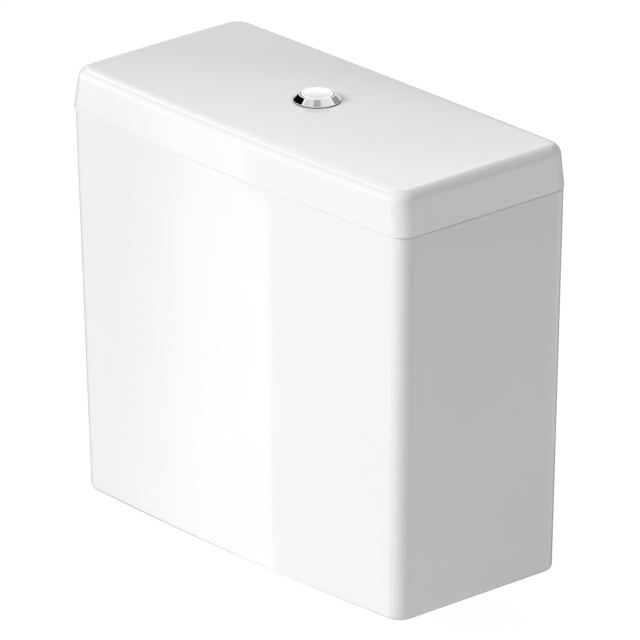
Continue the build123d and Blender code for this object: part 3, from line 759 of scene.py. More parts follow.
@dataclass(frozen=True)
class FinishBook:
    """Every finish of the cistern."""

    glaze: Finish = Finish(
        "Glaze", "glazed_shell", FinishKind.GLAZED,
        light=(0.872, 0.872, 0.876), dark=(0.856, 0.857, 0.862), mottle_scale=6.0,
        smooth=0.02, rough=0.045, scuff_scale=9.0,
        grain_scale=11.0, fine_scale=420.0, grain_height=0.00005,
    )
    clay: Finish = Finish(
        "Raw clay", "glazed_shell", FinishKind.FIRED,
        light=(0.80, 0.765, 0.70), dark=(0.70, 0.655, 0.58), mottle_scale=60.0,
        smooth=0.72, rough=0.92, scuff_scale=160.0,
        grain_scale=900.0, fine_scale=2600.0, grain_height=0.00022,
        speck_scale=420.0, speck_share=0.16, speck_color=(0.45, 0.40, 0.34),
    )
    chrome: Finish = Finish(
        "Chrome", "button_chrome", FinishKind.CHROMED,
        light=(0.79, 0.80, 0.81), dark=(0.76, 0.77, 0.785), mottle_scale=40.0,
        smooth=0.035, rough=0.10, scuff_scale=150.0,
        grain_scale=90.0, fine_scale=1800.0, grain_height=0.000012,
    )
    white: Finish = Finish(
        "White plastic", "white_plastic", FinishKind.MOULDED,
        light=(0.81, 0.815, 0.80), dark=(0.77, 0.775, 0.755), mottle_scale=30.0,
        smooth=0.30, rough=0.46, scuff_scale=120.0,
        grain_scale=130.0, fine_scale=2400.0, grain_height=0.00010,
    )
    pale: Finish = Finish(
        "Pale plastic", "pale_plastic", FinishKind.MOULDED,
        light=(0.66, 0.70, 0.72), dark=(0.60, 0.645, 0.67), mottle_scale=26.0,
        smooth=0.28, rough=0.44, scuff_scale=110.0,
        grain_scale=120.0, fine_scale=2400.0, grain_height=0.00010,
    )
    blue: Finish = Finish(
        "Blue plastic", "blue_plastic", FinishKind.MOULDED,
        light=(0.10, 0.24, 0.42), dark=(0.075, 0.195, 0.36), mottle_scale=34.0,
        smooth=0.30, rough=0.48, scuff_scale=140.0,
        grain_scale=140.0, fine_scale=2400.0, grain_height=0.00010,
    )
    # Black rubber of the real seals and washers; it also colours the painted shade band at the
    # bezel's foot
    seal_and_shade: Finish = Finish(
        "Seal and shade rubber", "seal_rubber", FinishKind.RUBBERY,
        light=(0.05, 0.05, 0.05), dark=(0.03, 0.03, 0.032), mottle_scale=70.0,
        smooth=0.55, rough=0.80, scuff_scale=200.0,
        grain_scale=260.0, fine_scale=3000.0, grain_height=0.00016,
        speck_scale=900.0, speck_share=0.12, speck_color=(0.16, 0.16, 0.155),
    )
    red: Finish = Finish(
        "Red rubber", "red_rubber", FinishKind.RUBBERY,
        light=(0.44, 0.105, 0.075), dark=(0.36, 0.08, 0.06), mottle_scale=60.0,
        smooth=0.50, rough=0.74, scuff_scale=180.0,
        grain_scale=240.0, fine_scale=3000.0, grain_height=0.00014,
        speck_scale=700.0, speck_share=0.10, speck_color=(0.55, 0.25, 0.20),
    )
    pad: Finish = Finish(
        "Pad rubber", "pad_rubber", FinishKind.RUBBERY,
        light=(0.47, 0.48, 0.48), dark=(0.40, 0.41, 0.415), mottle_scale=80.0,
        smooth=0.60, rough=0.82, scuff_scale=200.0,
        grain_scale=260.0, fine_scale=3000.0, grain_height=0.00014,
        speck_scale=800.0, speck_share=0.10, speck_color=(0.6, 0.6, 0.6),
    )
    foam: Finish = Finish(
        "Foam rubber", "foam_rubber", FinishKind.FOAMED,
        light=(0.095, 0.095, 0.098), dark=(0.06, 0.06, 0.062), mottle_scale=90.0,
        smooth=0.86, rough=1.0, scuff_scale=240.0,
        grain_scale=700.0, fine_scale=2600.0, grain_height=0.0006,
        speck_scale=620.0, speck_share=0.42, speck_color=(0.018, 0.018, 0.019),
    )
    brass: Finish = Finish(
        "Brass", "bolt_brass", FinishKind.TURNED,
        light=(0.74, 0.57, 0.28), dark=(0.58, 0.41, 0.18), mottle_scale=70.0,
        smooth=0.20, rough=0.42, scuff_scale=260.0,
        grain_scale=300.0, fine_scale=2600.0, grain_height=0.00006,
        speck_scale=500.0, speck_share=0.10, speck_color=(0.40, 0.27, 0.12),
    )
    steel: Finish = Finish(
        "Washer steel", "washer_steel", FinishKind.TURNED,
        light=(0.61, 0.61, 0.61), dark=(0.52, 0.52, 0.53), mottle_scale=60.0,
        smooth=0.22, rough=0.44, scuff_scale=260.0,
        grain_scale=300.0, fine_scale=2600.0, grain_height=0.00005,
    )
    wire: Finish = Finish(
        "Spring steel", "spring_steel", FinishKind.TURNED,
        light=(0.56, 0.56, 0.57), dark=(0.45, 0.45, 0.47), mottle_scale=120.0,
        smooth=0.18, rough=0.36, scuff_scale=400.0,
        grain_scale=500.0, fine_scale=2600.0, grain_height=0.00004,
    )


class FinishShop:
    """Makes each finish's material once and hands it out."""

    speck_depth = 0.8

    def __init__(self, book: FinishBook) -> None:
        """Keep the book and build the shared effects.

        Args:
            book: Every finish.
        """
        self.book = book
        self.effects = Effects()
        self.made: dict[str, bpy.types.Material] = {}

    def material(self, finish: Finish) -> bpy.types.Material:
        """Give a finish's material, made on first use.

        Args:
            finish: The finish.

        Returns:
            Its material.
        """
        if finish.name not in self.made:
            self.made[finish.name] = self.make(finish)
            log.info("finish %s: %s", finish.name, finish.kind.value)
        return self.made[finish.name]

    def make(self, finish: Finish) -> bpy.types.Material:
        """Make the material of one finish.

        Args:
            finish: The finish.

        Returns:
            The material, with its shader's plain values set by the finish's kind.
        """
        material = bpy.data.materials.new(finish.name)
        material.use_nodes = True
        bench = Bench(material.node_tree)
        color = bench.group(self.effects.mottle, {
            "Scale": finish.mottle_scale,
            "Light": (*finish.light, 1.0),
            "Dark": (*finish.dark, 1.0),
        })["Color"]
        height = bench.group(self.effects.grain, {
            "Wave Scale": finish.grain_scale,
            "Fine Scale": finish.fine_scale,
        })["Height"]
        if finish.speck_share > 0:
            specks = bench.group(self.effects.specks, {
                "Scale": finish.speck_scale,
                "Share": finish.speck_share,
                "Ground": color,
                "Speck": (*finish.speck_color, 1.0),
            })
            color = specks["Color"]
            sunk = bench.math("MULTIPLY", specks["Mask"], self.speck_depth)
            height = bench.math("SUBTRACT", height, sunk)
        roughness = bench.group(self.effects.scuffs, {
            "Scale": finish.scuff_scale,
            "Smooth": finish.smooth,
            "Rough": finish.rough,
        })["Roughness"]
        bump = bench.place(
            "Bump", {"Strength": 1.0, "Distance": finish.grain_height, "Height": height}
        )
        shader = bench.place("BsdfPrincipled", {
            "Base Color": color,
            "Roughness": roughness,
            "Normal": bump.outputs[0],
            **PLAIN_VALUES[finish.kind],
        })
        bench.place("OutputMaterial", {"Surface": shader.outputs[0]})
        return material

    def dress(self, piece: Piece, *finishes: Finish) -> None:
        """Give a new piece its materials.

        Args:
            piece: The piece, which keeps the materials that it already has.
            finishes: Its finishes, in the order of its faces' material numbers.
        """
        if not piece.data.materials:
            for finish in finishes:
                piece.data.materials.append(self.material(finish))


# Pieces


@dataclass(frozen=True)
class NodeCare:
    """How the edges of a kept CAD node are softened."""

    bevel: float = 0.35 * MM
    segments: int = 2
    limit: float = 35.0
    weld: float = 0.004 * MM


class SubAssembly:
    """Part of the cistern: replaces some CAD nodes and dresses the others."""

    face_weight = 100

    def __init__(self, shop: FinishShop, nodes: dict[str, Piece]) -> None:
        """Keep the finishes and the CAD nodes."""
        self.shop = shop
        self.nodes = nodes

    def seat(self, piece: Piece, node: str, *finishes: Finish) -> Piece:
        """Put a new piece in a CAD node's place and on its body.

        Args:
            piece: The new piece.
            node: The CAD node that it stands for.
            finishes: Finishes in the order of its faces' material numbers.

        Returns:
            The piece.
        """
        self.shop.dress(piece, *finishes)
        even = piece.modifiers.new("even shading", "WEIGHTED_NORMAL")
        even.keep_sharp = True
        even.weight = self.face_weight
        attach(piece, self.nodes[node]["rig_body"])
        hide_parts(node)
        log.info("piece %s stands for %s, %d faces", piece.name, node, len(piece.data.polygons))
        return piece

    def keep(self, finish: Finish, *nodes: str, care: NodeCare = NodeCare()) -> None:
        """Keep the shapes of CAD nodes, soften their edges and give them a finish.

        Args:
            finish: Their finish.
            nodes: Names of the nodes.
            care: How their edges are softened.
        """
        for node in nodes:
            kept = self.nodes[node]
            kept.data.materials.clear()
            kept.data.materials.append(self.shop.material(finish))
            kept.modifiers.new("weld", "WELD").merge_threshold = care.weld
            if care.bevel > 0:
                bevel = kept.modifiers.new("soft edges", "BEVEL")
                bevel.width = care.bevel
                bevel.segments = care.segments
                bevel.limit_method = "ANGLE"
                bevel.angle_limit = math.radians(care.limit)
                bevel.harden_normals = True
            kept.data.shade_smooth()
            kept.data.set_sharp_from_angle(angle=math.radians(care.limit))
            log.info("node %s kept as %s", node, finish.name)


@dataclass(frozen=True)
class ShellForm:
    """Measures of the ceramic that tank and lid share."""

    half_width: float
    front: float
    back: float
    bow: float = 5.8 * MM
    corner: float = 14.5 * MM
    inner_corner: float = 9.0 * MM
    side_draft: float = 0.0
    front_draft: float = 0.0
    full_level: float = 0.0
    drawn_level: float = 0.0
    front_steps: int = 48
    corner_steps: int = 9
    side_steps: int = 14
    back_steps: int = 32

    def outline(self, level: float, inset: float = 0.0) -> Loop:
        """Draw the plan of the ceramic at one level.

        Args:
            level: Height of the plan.
            inset: How far the plan lies inside the outer face.

        Returns:
            Points counterclockwise as seen from above, from the left end of the front arc.
        """
        drawn = (self.full_level - level) / (self.full_level - self.drawn_level)
        half = self.half_width - self.side_draft * drawn - inset
        ahead = self.front - self.front_draft * drawn - inset
        behind = self.back - inset
        radius = max(self.corner - inset, self.inner_corner)
        sweep = (half * half + self.bow * self.bow) / (2 * self.bow)
        centre = Vector((0.0, sweep - ahead - self.bow))
        rise = math.sqrt((sweep - radius) ** 2 - (half - radius) ** 2)
        turn = Vector((half - radius, centre.y - rise))
        touch = math.asin((half - radius) / (sweep - radius))
        points: list[tuple[float, float]] = []
        for step in range(self.front_steps + 1):
            angle = touch * (2 * step / self.front_steps - 1)
            points.append((sweep * math.sin(angle), centre.y - sweep * math.cos(angle)))
        for step in range(1, self.corner_steps + 1):
            angle = touch + (math.pi / 2 - touch) * step / self.corner_steps
            points.append((turn.x + radius * math.sin(angle), turn.y - radius * math.cos(angle)))
        back_turn = behind - radius
        for step in range(1, self.side_steps + 1):
            points.append((half, turn.y + (back_turn - turn.y) * step / self.side_steps))
        for step in range(1, self.corner_steps + 1):
            angle = math.pi / 2 * step / self.corner_steps
            x = half - radius + radius * math.cos(angle)
            points.append((x, back_turn + radius * math.sin(angle)))
        right_side = points[self.front_steps + 1 :]
        for step in range(1, self.back_steps):
            points.append(((half - radius) * (1 - 2 * step / self.back_steps), behind))
        points.extend((-x, y) for x, y in reversed(right_side))
        return [Vector((x, y, level)) for x, y in points]

    def outlines(self, section: Section) -> list[Loop]:
        """Draw the plan at each inset and level of a section."""
        return [self.outline(level, inset) for inset, level in section]


def plug(radius: float, low: float, high: float, x: float, sides: int) -> Piece:
    """Make an upright cylinder that cuts a hole.

    Args:
        radius: Radius of the hole.
        low: Level of the lower end.
        high: Level of the upper end.
        x: Place of the axis along the width.
        sides: Points round the axis.

    Returns:
        The cylinder.
    """
    section = [(0.0, low), (radius, low), (radius, high), (0.0, high)]
    return turned("cutter", section, (Vector((x, 0.0, 0.0)),), sides)


def bored(piece: Piece, cutters: Sequence[Piece]) -> None:
    """Cut holes through a piece and throw the cutters away.

    Args:
        piece: The piece.
        cutters: Closed pieces in the places of the holes.
    """
    for cutter in cutters:
        cut = piece.modifiers.new("hole", "BOOLEAN")
        cut.operation = "DIFFERENCE"
        cut.solver = "EXACT"
        cut.object = cutter
    graph = bpy.context.evaluated_depsgraph_get()
    result = bpy.data.meshes.new_from_object(piece.evaluated_get(graph), depsgraph=graph)
    piece.modifiers.clear()
    piece.data = result
    for cutter in cutters:
        bpy.data.objects.remove(cutter)


@dataclass(frozen=True)
class TankSizes:
    """Measures of the tank's wall, foot and holes."""

    wall: float = 10.0 * MM
    foot_width: float = 14.0 * MM
    recess_depth: float = 14.0 * MM
    floor_level: float = 25.0 * MM
    base_edge: float = 4.0 * MM
    mouth_edge: float = 0.9 * MM
    floor_easing: float = 6.0 * MM
    foot_edge: float = 1.6 * MM
    recess_easing: float = 4.0 * MM
    side_draft: float = 9.5 * MM
    front_draft: float = 4.9 * MM
    outlet_hole: float = 32.0 * MM
    outlet_sides: int = 96
    bolt_hole: float = 5.5 * MM
    inlet_hole: float = 11.2 * MM
    inlet_sides: int = 48
    screw_hole: float = 3.5 * MM
    screw_from_centre: float = 120.0 * MM
    screw_drop: float = 42.0 * MM
    small_sides: int = 32
    side_rows: int = 16
    easing_steps: int = 6


class TankShell(SubAssembly):
    """Glazed ceramic tank with a raw foot, a recess under its floor and its holes."""

    sizes = TankSizes()

    def form(self) -> ShellForm:
        """Take the plan form of the tank from the corners of its CAD node.

        Returns:
            The plan form.
        """
        low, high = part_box("tank")
        return ShellForm(
            half_width=high.x,
            front=-low.y - ShellForm.bow,
            back=high.y,
            side_draft=self.sizes.side_draft,
            front_draft=self.sizes.front_draft,
            full_level=high.z,
            drawn_level=low.z,
        )

    def build(self) -> None:
        """Build the tank in its CAD node's place."""
        sizes = self.sizes
        book = self.shop.book
        form = self.form()
        top = form.full_level
        levels = [top * row / sizes.side_rows for row in range(sizes.side_rows)]
        raw = eased([
            Corner(sizes.foot_width, sizes.foot_edge * 2),
            Corner(sizes.foot_width, 0.0, sizes.foot_edge),
            Corner(sizes.base_edge, 0.0),
        ])
        glazed = eased([
            Corner(sizes.base_edge, 0.0),
            Corner(0.0, 0.0, sizes.base_edge),
            *[Corner(0.0, level) for level in levels[1:]],
            Corner(0.0, top, sizes.mouth_edge),
            Corner(sizes.wall, top, sizes.mouth_edge),
            *[Corner(sizes.wall, level) for level in reversed(levels[2:])],
            Corner(sizes.wall, sizes.floor_level, sizes.floor_easing),
            Corner(sizes.wall + sizes.floor_easing * 2, sizes.floor_level),
        ], steps=sizes.easing_steps)
        recess = eased([
            Corner(sizes.foot_width + sizes.recess_easing * 2, sizes.recess_depth),
            Corner(sizes.foot_width, sizes.recess_depth, sizes.recess_easing),
            Corner(sizes.foot_width, sizes.foot_edge * 2),
        ])
        skin = Skin()
        recess_rows = skin.chain(form.outlines(recess))
        raw_rows = skin.chain(form.outlines(raw[1:]), slot=1)
        glazed_rows = skin.chain(form.outlines(glazed[1:]))
        skin.bridge(recess_rows[-1], raw_rows[0], 1)
        skin.bridge(raw_rows[-1], glazed_rows[0])
        ceiling = skin.loop([Vector((0, 0, sizes.recess_depth))])
        floor = skin.loop([Vector((0, 0, sizes.floor_level))])
        skin.bridge(ceiling, recess_rows[0])
        skin.bridge(glazed_rows[-1], floor)
        tank = skin.piece("tank_shell")
        self.shop.dress(tank, book.glaze, book.clay)
        bored(tank, self.cutters(form))
        tank.data.set_sharp_from_angle(angle=math.radians(PLAIN_SHARP))
        self.seat(tank, "tank", book.glaze, book.clay)

    def cutters(self, form: ShellForm) -> list[Piece]:
        """Make the pieces that cut the tank's holes.

        Args:
            form: Plan form of the tank.

        Returns:
            Closed cylinders in the places of the holes.
        """
        sizes = self.sizes
        low = sizes.recess_depth / 2
        high = sizes.floor_level + sizes.recess_depth / 2
        inlet_low, inlet_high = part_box("inlet_shank")
        bolt_x = BoltSizes.from_centre
        made = [
            plug(radius, low, high, x, sides)
            for x, radius, sides in (
                (0.0, sizes.outlet_hole, sizes.outlet_sides),
                (-bolt_x, sizes.bolt_hole, sizes.small_sides),
                (bolt_x, sizes.bolt_hole, sizes.small_sides),
                ((inlet_low.x + inlet_high.x) / 2, sizes.inlet_hole, sizes.inlet_sides),
            )
        ]
        back = form.back - sizes.wall / 2
        for side in (-1, 1):
            screw = plug(sizes.screw_hole, -sizes.wall, sizes.wall, 0.0, sizes.small_sides)
            screw.rotation_euler = (math.pi / 2, 0.0, 0.0)
            screw.location = (
                side * sizes.screw_from_centre, back, form.full_level - sizes.screw_drop
            )
            made.append(screw)
        bpy.context.view_layer.update()
        return made


@dataclass(frozen=True)
class LidSizes:
    """Measures of the lid's crown, edges, lip and hole."""

    crown: float = 3.6 * MM
    crown_edge_share: float = 0.02
    crown_reach: float = 2.0 * MM
    height: float = 34.0 * MM
    edge: float = 8.0 * MM
    rim_edge: float = 0.4 * MM
    rim_dip: float = 0.35 * MM
    dip_start: float = 66.0 * MM
    dip_blend: float = 12.0 * MM
    thickness: float = 9.0 * MM
    side_draft: float = 5.0 * MM
    front_draft: float = 1.5 * MM
    lip_inset: float = 11.5 * MM
    lip_thickness: float = 7.0 * MM
    lip_edge: float = 1.4 * MM
    lip_root: float = 2.0 * MM
    inner_draft: float = 7.0 * MM
    inner_easing: float = 5.0 * MM
    land: float = 20.0 * MM
    land_depth: float = 0.3 * MM
    hole: float = 16.2 * MM
    hole_edge: float = 0.8 * MM
    edge_steps: int = 10
    side_rows: int = 4
    top_rows: int = 26


class LidShell(SubAssembly):
    """Crowned ceramic lid with its lip and the land round the button."""

    sizes = LidSizes()

    def build(self) -> None:
        """Build the lid in its CAD node's place."""
        sizes = self.sizes
        low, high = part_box("lid")
        tank = TankShell(self.shop, self.nodes).form()
        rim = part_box("lid_pads")[1].z
        self.top = rim + sizes.height
        outer = ShellForm(
            half_width=high.x,
            front=-low.y - ShellForm.bow,
            back=high.y,
            side_draft=sizes.side_draft,
            front_draft=sizes.front_draft,
            full_level=rim,
            drawn_level=self.top,
        )
        self.reach_x = high.x + sizes.crown_reach
        self.reach_y = outer.front + outer.bow
        ceiling = self.top - sizes.thickness
        side_height = sizes.height - sizes.edge
        side = eased([
            Corner(sizes.rim_edge * 3, rim),
            Corner(0.0, rim, sizes.rim_edge),
            *[
                Corner(0.0, rim + side_height * row / sizes.side_rows)
                for row in range(1, sizes.side_rows)
            ],
        ])
        side_rows = [[self.dipped(point, rim) for point in row] for row in outer.outlines(side)]
        edge_shares = [step / sizes.edge_steps for step in range(sizes.edge_steps + 1)]
        edge_rows = [self.edge_loop(outer, share) for share in edge_shares]
        last = edge_rows[-1]
        ring = [self.toward_circle(point, sizes.land, point.z) for point in last]
        top_rows = [
            [self.crowned(point.lerp(end, row / sizes.top_rows)) for point, end in zip(last, ring)]
            for row in range(1, sizes.top_rows + 1)
        ]
        land = self.top + sizes.crown - sizes.land_depth
        well = [
            [self.toward_circle(point, radius, level) for point in last]
            for radius, level in (
                (sizes.land, land),
                (sizes.hole + sizes.hole_edge, land),
                (sizes.hole, land - sizes.hole_edge),
                (sizes.hole, ceiling + sizes.hole_edge),
                (sizes.hole + sizes.hole_edge, ceiling),
            )
        ]
        inner_inset = sizes.lip_inset + sizes.lip_thickness
        hollow = eased([
            Corner(inner_inset + sizes.inner_draft + sizes.inner_easing * 3, ceiling),
            Corner(inner_inset + sizes.inner_draft, ceiling, sizes.inner_easing),
            Corner(inner_inset, low.z, sizes.lip_edge),
            Corner(sizes.lip_inset, low.z, sizes.lip_edge),
            Corner(sizes.lip_inset, rim - sizes.lip_root),
            Corner(sizes.lip_inset, rim),
        ])
        skin = Skin()
        glazed = skin.chain([*side_rows[1:], *edge_rows, *top_rows, *well])
        inner = skin.chain(tank.outlines(hollow))
        skin.bridge(glazed[-1], inner[0])
        skin.bridge(inner[-1], glazed[0], 1)
        lid = skin.piece("lid_shell")
        self.seat(lid, "lid", self.shop.book.glaze, self.shop.book.clay)

    def dipped(self, point: Vector, rim: float) -> Vector:
        """Lower a point of the rim a little where it lies along the front.

        Args:
            point: The point.
            rim: Level of the rim.

        Returns:
            The point in its new place.
        """
        sizes = self.sizes
        if point.z > rim + sizes.rim_edge:
            return point
        share = min(1.0, max(0.0, (-point.y - sizes.dip_start) / sizes.dip_blend))
        return point - Vector((0, 0, sizes.rim_dip * share))

    def crowned(self, point: Vector) -> Vector:
        """Put a point of the plan on the crown.

        Args:
            point: The point, whose level has no effect.

        Returns:
            The point on the crown.
        """
        sizes = self.sizes
        along = 1 - (point.x / self.reach_x) ** 2
        across = 1 - (point.y / self.reach_y) ** 2
        share = sizes.crown_edge_share + (1 - sizes.crown_edge_share) * along
        return Vector((point.x, point.y, self.top + sizes.crown * share * across))

    def edge_loop(self, outer: ShellForm, share: float) -> Loop:
        """Draw one loop of the rounded top edge.

        Args:
            outer: Plan form of the lid.
            share: How far the loop is round the edge, from the side to the top.

        Returns:
            Points of the loop, which follow the crown.
        """
        radius = self.sizes.edge
        angle = share * math.pi / 2
        drop = radius * (1 - math.sin(angle))
        plan = outer.outline(self.top - drop, radius * (1 - math.cos(angle)))
        return [self.crowned(point) - Vector((0, 0, drop)) for point in plan]

    @staticmethod
    def toward_circle(point: Vector, radius: float, level: float) -> Vector:
        """Move a point along its line to the axis onto a circle, and to a level."""
        reach = math.hypot(point.x, point.y)
        return Vector((point.x * radius / reach, point.y * radius / reach, level))


@dataclass(frozen=True)
class ButtonSizes:
    """Measures of the button, its bezel and the fittings under the lid."""

    sides: int = 128
    rim: float = 1.3 * MM
    rim_edge: float = 0.5 * MM
    # Height of the black band at the bezel's foot: painted contact shade, not a seal
    shade_band: float = 0.65 * MM
    shade_band_edge: float = 0.15 * MM
    cone_foot: float = 18.5 * MM
    cone_top: float = 14.4 * MM
    cone_edge: float = 0.35 * MM
    bore: float = 13.4 * MM
    bore_edge: float = 0.2 * MM
    inner_edge: float = 0.1 * MM
    flange_play: float = 0.2 * MM
    button: float = 13.1 * MM
    button_edge: float = 0.8 * MM
    button_steps: int = 5
    dish: float = 0.25 * MM
    dish_rings: Stops = ((0.6, 0.7), (0.3, 0.95))
    skirt_wall: float = 1.6 * MM
    skirt: float = 14.3 * MM
    skirt_edge: float = 0.2 * MM
    skirt_play: float = 0.3 * MM
    cap: float = 3.0 * MM
    cap_edge: float = 0.4 * MM
    thread: Thread = Thread(15.5 * MM, 2.0 * MM, 0.7 * MM)
    run_out: float = 1.0 * MM
    housing_bore: float = 14.6 * MM
    stem_hole: float = 5.5 * MM
    flange: float = 17.2 * MM
    floor: float = 2.0 * MM
    nut: NutSizes = NutSizes(19.9 * MM, 15.7 * MM)


@dataclass(frozen=True)
class SpringSizes:
    """Measures of the button's return spring."""

    radius: float = 9.4 * MM
    wire: float = 0.7 * MM
    turns: int = 4
    travel: float = 7.7 * MM
    steps: int = 36
    sides: int = 12


class LidButton(SubAssembly):
    """Chrome button and bezel, and the housing that carries them in the lid."""

    sizes = ButtonSizes()
    spring = SpringSizes()

    def build(self) -> None:
        """Build the button's pieces and dress the others."""
        book = self.shop.book
        self.build_bezel()
        self.build_button()
        self.build_housing()
        nut = hexagon_nut("housing_backnut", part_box("housing_nut"), self.sizes.nut)
        self.seat(nut, "housing_nut", book.white)
        self.build_spring()
        self.keep(book.seal_and_shade, "housing_washer")
        self.keep(book.pad, "lid_pads", care=NodeCare(bevel=0.3 * MM))

    def build_bezel(self) -> None:
        """Build the coned bezel with its small upright rim, and a black band at its foot that is
        painted contact shade.
        """
        sizes = self.sizes
        low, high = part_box("button_bezel")
        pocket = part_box("button_housing")[1].z
        section = eased([
            Corner(sizes.flange + sizes.flange_play, low.z),
            Corner(sizes.cone_foot, low.z, sizes.shade_band_edge),
            Corner(sizes.cone_foot, low.z + sizes.shade_band),
            Corner(sizes.cone_foot, low.z + sizes.rim, sizes.rim_edge),
            Corner(sizes.cone_top, high.z, sizes.cone_edge),
            Corner(sizes.bore, high.z, sizes.bore_edge),
            Corner(sizes.bore, pocket, sizes.inner_edge),
            Corner(sizes.flange + sizes.flange_play, pocket),
        ], closed=True)
        bezel = turned("bezel", section, sides=sizes.sides)
        # The lowest band's faces take the black rubber finish: painted shade where the bezel meets
        # the lid
        for face in bezel.data.polygons:
            face.material_index = int(face.center.z < low.z + sizes.shade_band)
        self.seat(bezel, "button_bezel", self.shop.book.chrome, self.shop.book.seal_and_shade)

    def build_button(self) -> None:
        """Build the button with its slightly dished top and stepped skirt."""
        sizes = self.sizes
        low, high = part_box("push_button")
        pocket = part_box("button_housing")[1].z - sizes.skirt_play
        inside = high.z - sizes.cap
        skirt_inside = sizes.button - sizes.skirt_wall
        section = eased([
            Corner(0.0, inside),
            Corner(skirt_inside, inside, sizes.cap_edge),
            Corner(skirt_inside, low.z, sizes.skirt_edge),
            Corner(sizes.skirt, low.z, sizes.skirt_edge),
            Corner(sizes.skirt, pocket, sizes.skirt_edge),
            Corner(sizes.button, pocket, sizes.inner_edge),
            Corner(sizes.button, high.z, sizes.button_edge),
            Corner(sizes.button - 2 * sizes.button_edge, high.z),
            *[
                Corner(sizes.button * ring, high.z - sizes.dish * share)
                for ring, share in sizes.dish_rings
            ],
            Corner(0.0, high.z - sizes.dish),
        ], steps=sizes.button_steps)
        button = turned("button", section, sides=sizes.sides)
        self.seat(button, "push_button", self.shop.book.chrome)

    def build_housing(self) -> None:
        """Build the threaded housing."""
        sizes = self.sizes
        thread = sizes.thread
        low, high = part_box("button_housing")
        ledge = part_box("button_bezel")[0].z
        section = [
            (sizes.stem_hole, low.z),
            *thread.shank(low.z, ledge, sizes.run_out),
            (sizes.flange, ledge),
            (sizes.flange, high.z),
            (sizes.housing_bore, high.z),
            (sizes.housing_bore, low.z + sizes.floor),
            (sizes.stem_hole, low.z + sizes.floor),
        ]
        housing = thread.turned("housing", section)
        self.seat(housing, "button_housing", self.shop.book.white)

    def build_spring(self) -> None:
        """Build the return spring as one fixed coil."""
        sizes = self.spring
        low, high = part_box("button_spring")
        foot = low.z + sizes.wire
        rise = (high.z - sizes.wire - foot) / (sizes.turns * math.tau)
        around = [side * math.tau / sizes.sides for side in range(sizes.sides)]
        loops: list[Loop] = []
        for step in range(sizes.turns * sizes.steps + 1):
            angle = step * math.tau / sizes.steps
            outward = Vector((math.cos(angle), math.sin(angle), 0.0))
            centre = outward * sizes.radius + Vector((0.0, 0.0, foot + rise * angle))
            sideways = sizes.radius * outward
            along = Vector((-sideways.y, sideways.x, rise)).normalized()
            upward = along.cross(outward)
            loops.append([
                centre + (outward * math.cos(turn) + upward * math.sin(turn)) * sizes.wire
                for turn in around
            ])
            if step in (0, sizes.turns * sizes.steps):
                loops.insert(len(loops) - (step == 0), [centre])
        skin = Skin()
        skin.chain(loops)
        coil = skin.piece("return_spring", FINE_SHARP)
        self.seat(coil, "button_spring", self.shop.book.wire)
        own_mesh(coil)


class ButtonRod(SubAssembly):
    """Stem under the button, threaded push rod, locknut and foot."""

    thread = Thread(
        3.0 * MM, 1.5 * MM, 0.45 * MM, rows=6, sides=36, sharp_angle=FINE_SHARP
    )

    def build(self) -> None:
        """Build the threaded rod and dress the rest."""
        book = self.shop.book
        thread = self.thread
        low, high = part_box("push_rod")
        section = [(0.0, low.z), *thread.stretch(low.z, high.z), (0.0, high.z)]
        rod = thread.turned("threaded_rod", section)
        self.seat(rod, "push_rod", book.white)
        self.keep(book.white, "button_stem", "rod_foot")
        self.keep(book.blue, "rod_locknut")


@dataclass(frozen=True)
class SeatSizes:
    """Measures of the flush valve's seat, tail and nut."""

    thread: Thread = Thread(29.8 * MM, 3.0 * MM, 1.1 * MM, sides=96)
    tip: float = 0.6 * MM
    run_out: float = 2.0 * MM
    bore: float = 25.5 * MM
    bore_edge: float = 0.8 * MM
    flange: float = 39.0 * MM
    flange_thickness: float = 4.0 * MM
    flange_foot_edge: float = 0.3 * MM
    flange_edge: float = 0.5 * MM
    lip: float = 3.5 * MM
    lip_height: float = 5.0 * MM
    lip_edge: float = 0.8 * MM
    lip_slope: float = 0.5 * MM
    lip_top: float = 1.3 * MM
    nut: NutSizes = NutSizes(37.24 * MM, 30.0 * MM, chamfer=1.4 * MM)


class FlushValve(SubAssembly):
    """Seat, tower, rockers and the rising stem of the flush valve."""

    sizes = SeatSizes()

    def build(self) -> None:
        """Build the seat and its nut and dress the rest."""
        book = self.shop.book
        self.build_seat()
        nut = hexagon_nut("outlet_nut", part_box("outlet_backnut"), self.sizes.nut)
        self.seat(nut, "outlet_backnut", book.white)
        self.keep(book.seal_and_shade, "seat_gasket")
        self.keep(book.pale, "valve_tower", "stem_float")
        self.keep(book.blue, "tower_cap", "rocker_left", "rocker_right", "lift_yoke")
        self.keep(book.white, "overflow_tube", "seal_retainer", "seal_plate")
        self.keep(book.red, "valve_seal")
        self.keep(book.steel, "rocker_pins", care=NodeCare(bevel=0.2 * MM))

    def build_seat(self) -> None:
        """Build the seat with its threaded tail."""
        sizes = self.sizes
        thread = sizes.thread
        low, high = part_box("valve_seat")
        flange_top = high.z - sizes.lip_height
        flange_foot = flange_top - sizes.flange_thickness
        lip = sizes.bore + sizes.lip
        section = [
            (sizes.bore, low.z + sizes.bore_edge),
            (sizes.bore + sizes.bore_edge, low.z),
            (thread.root, low.z),
            *thread.shank(low.z + sizes.tip, flange_foot, sizes.run_out),
            (sizes.flange - sizes.flange_foot_edge, flange_foot),
            (sizes.flange, flange_foot + sizes.flange_foot_edge),
            (sizes.flange, flange_top - sizes.flange_edge),
            (sizes.flange - sizes.flange_edge, flange_top),
            (lip, flange_top),
            (lip - sizes.lip_slope, high.z - sizes.lip_edge),
            (lip - sizes.lip_top, high.z),
            (sizes.bore + sizes.bore_edge, high.z),
            (sizes.bore, high.z - sizes.bore_edge),
        ]
        seat = thread.turned("flush_seat", section)
        self.seat(seat, "valve_seat", self.shop.book.white)


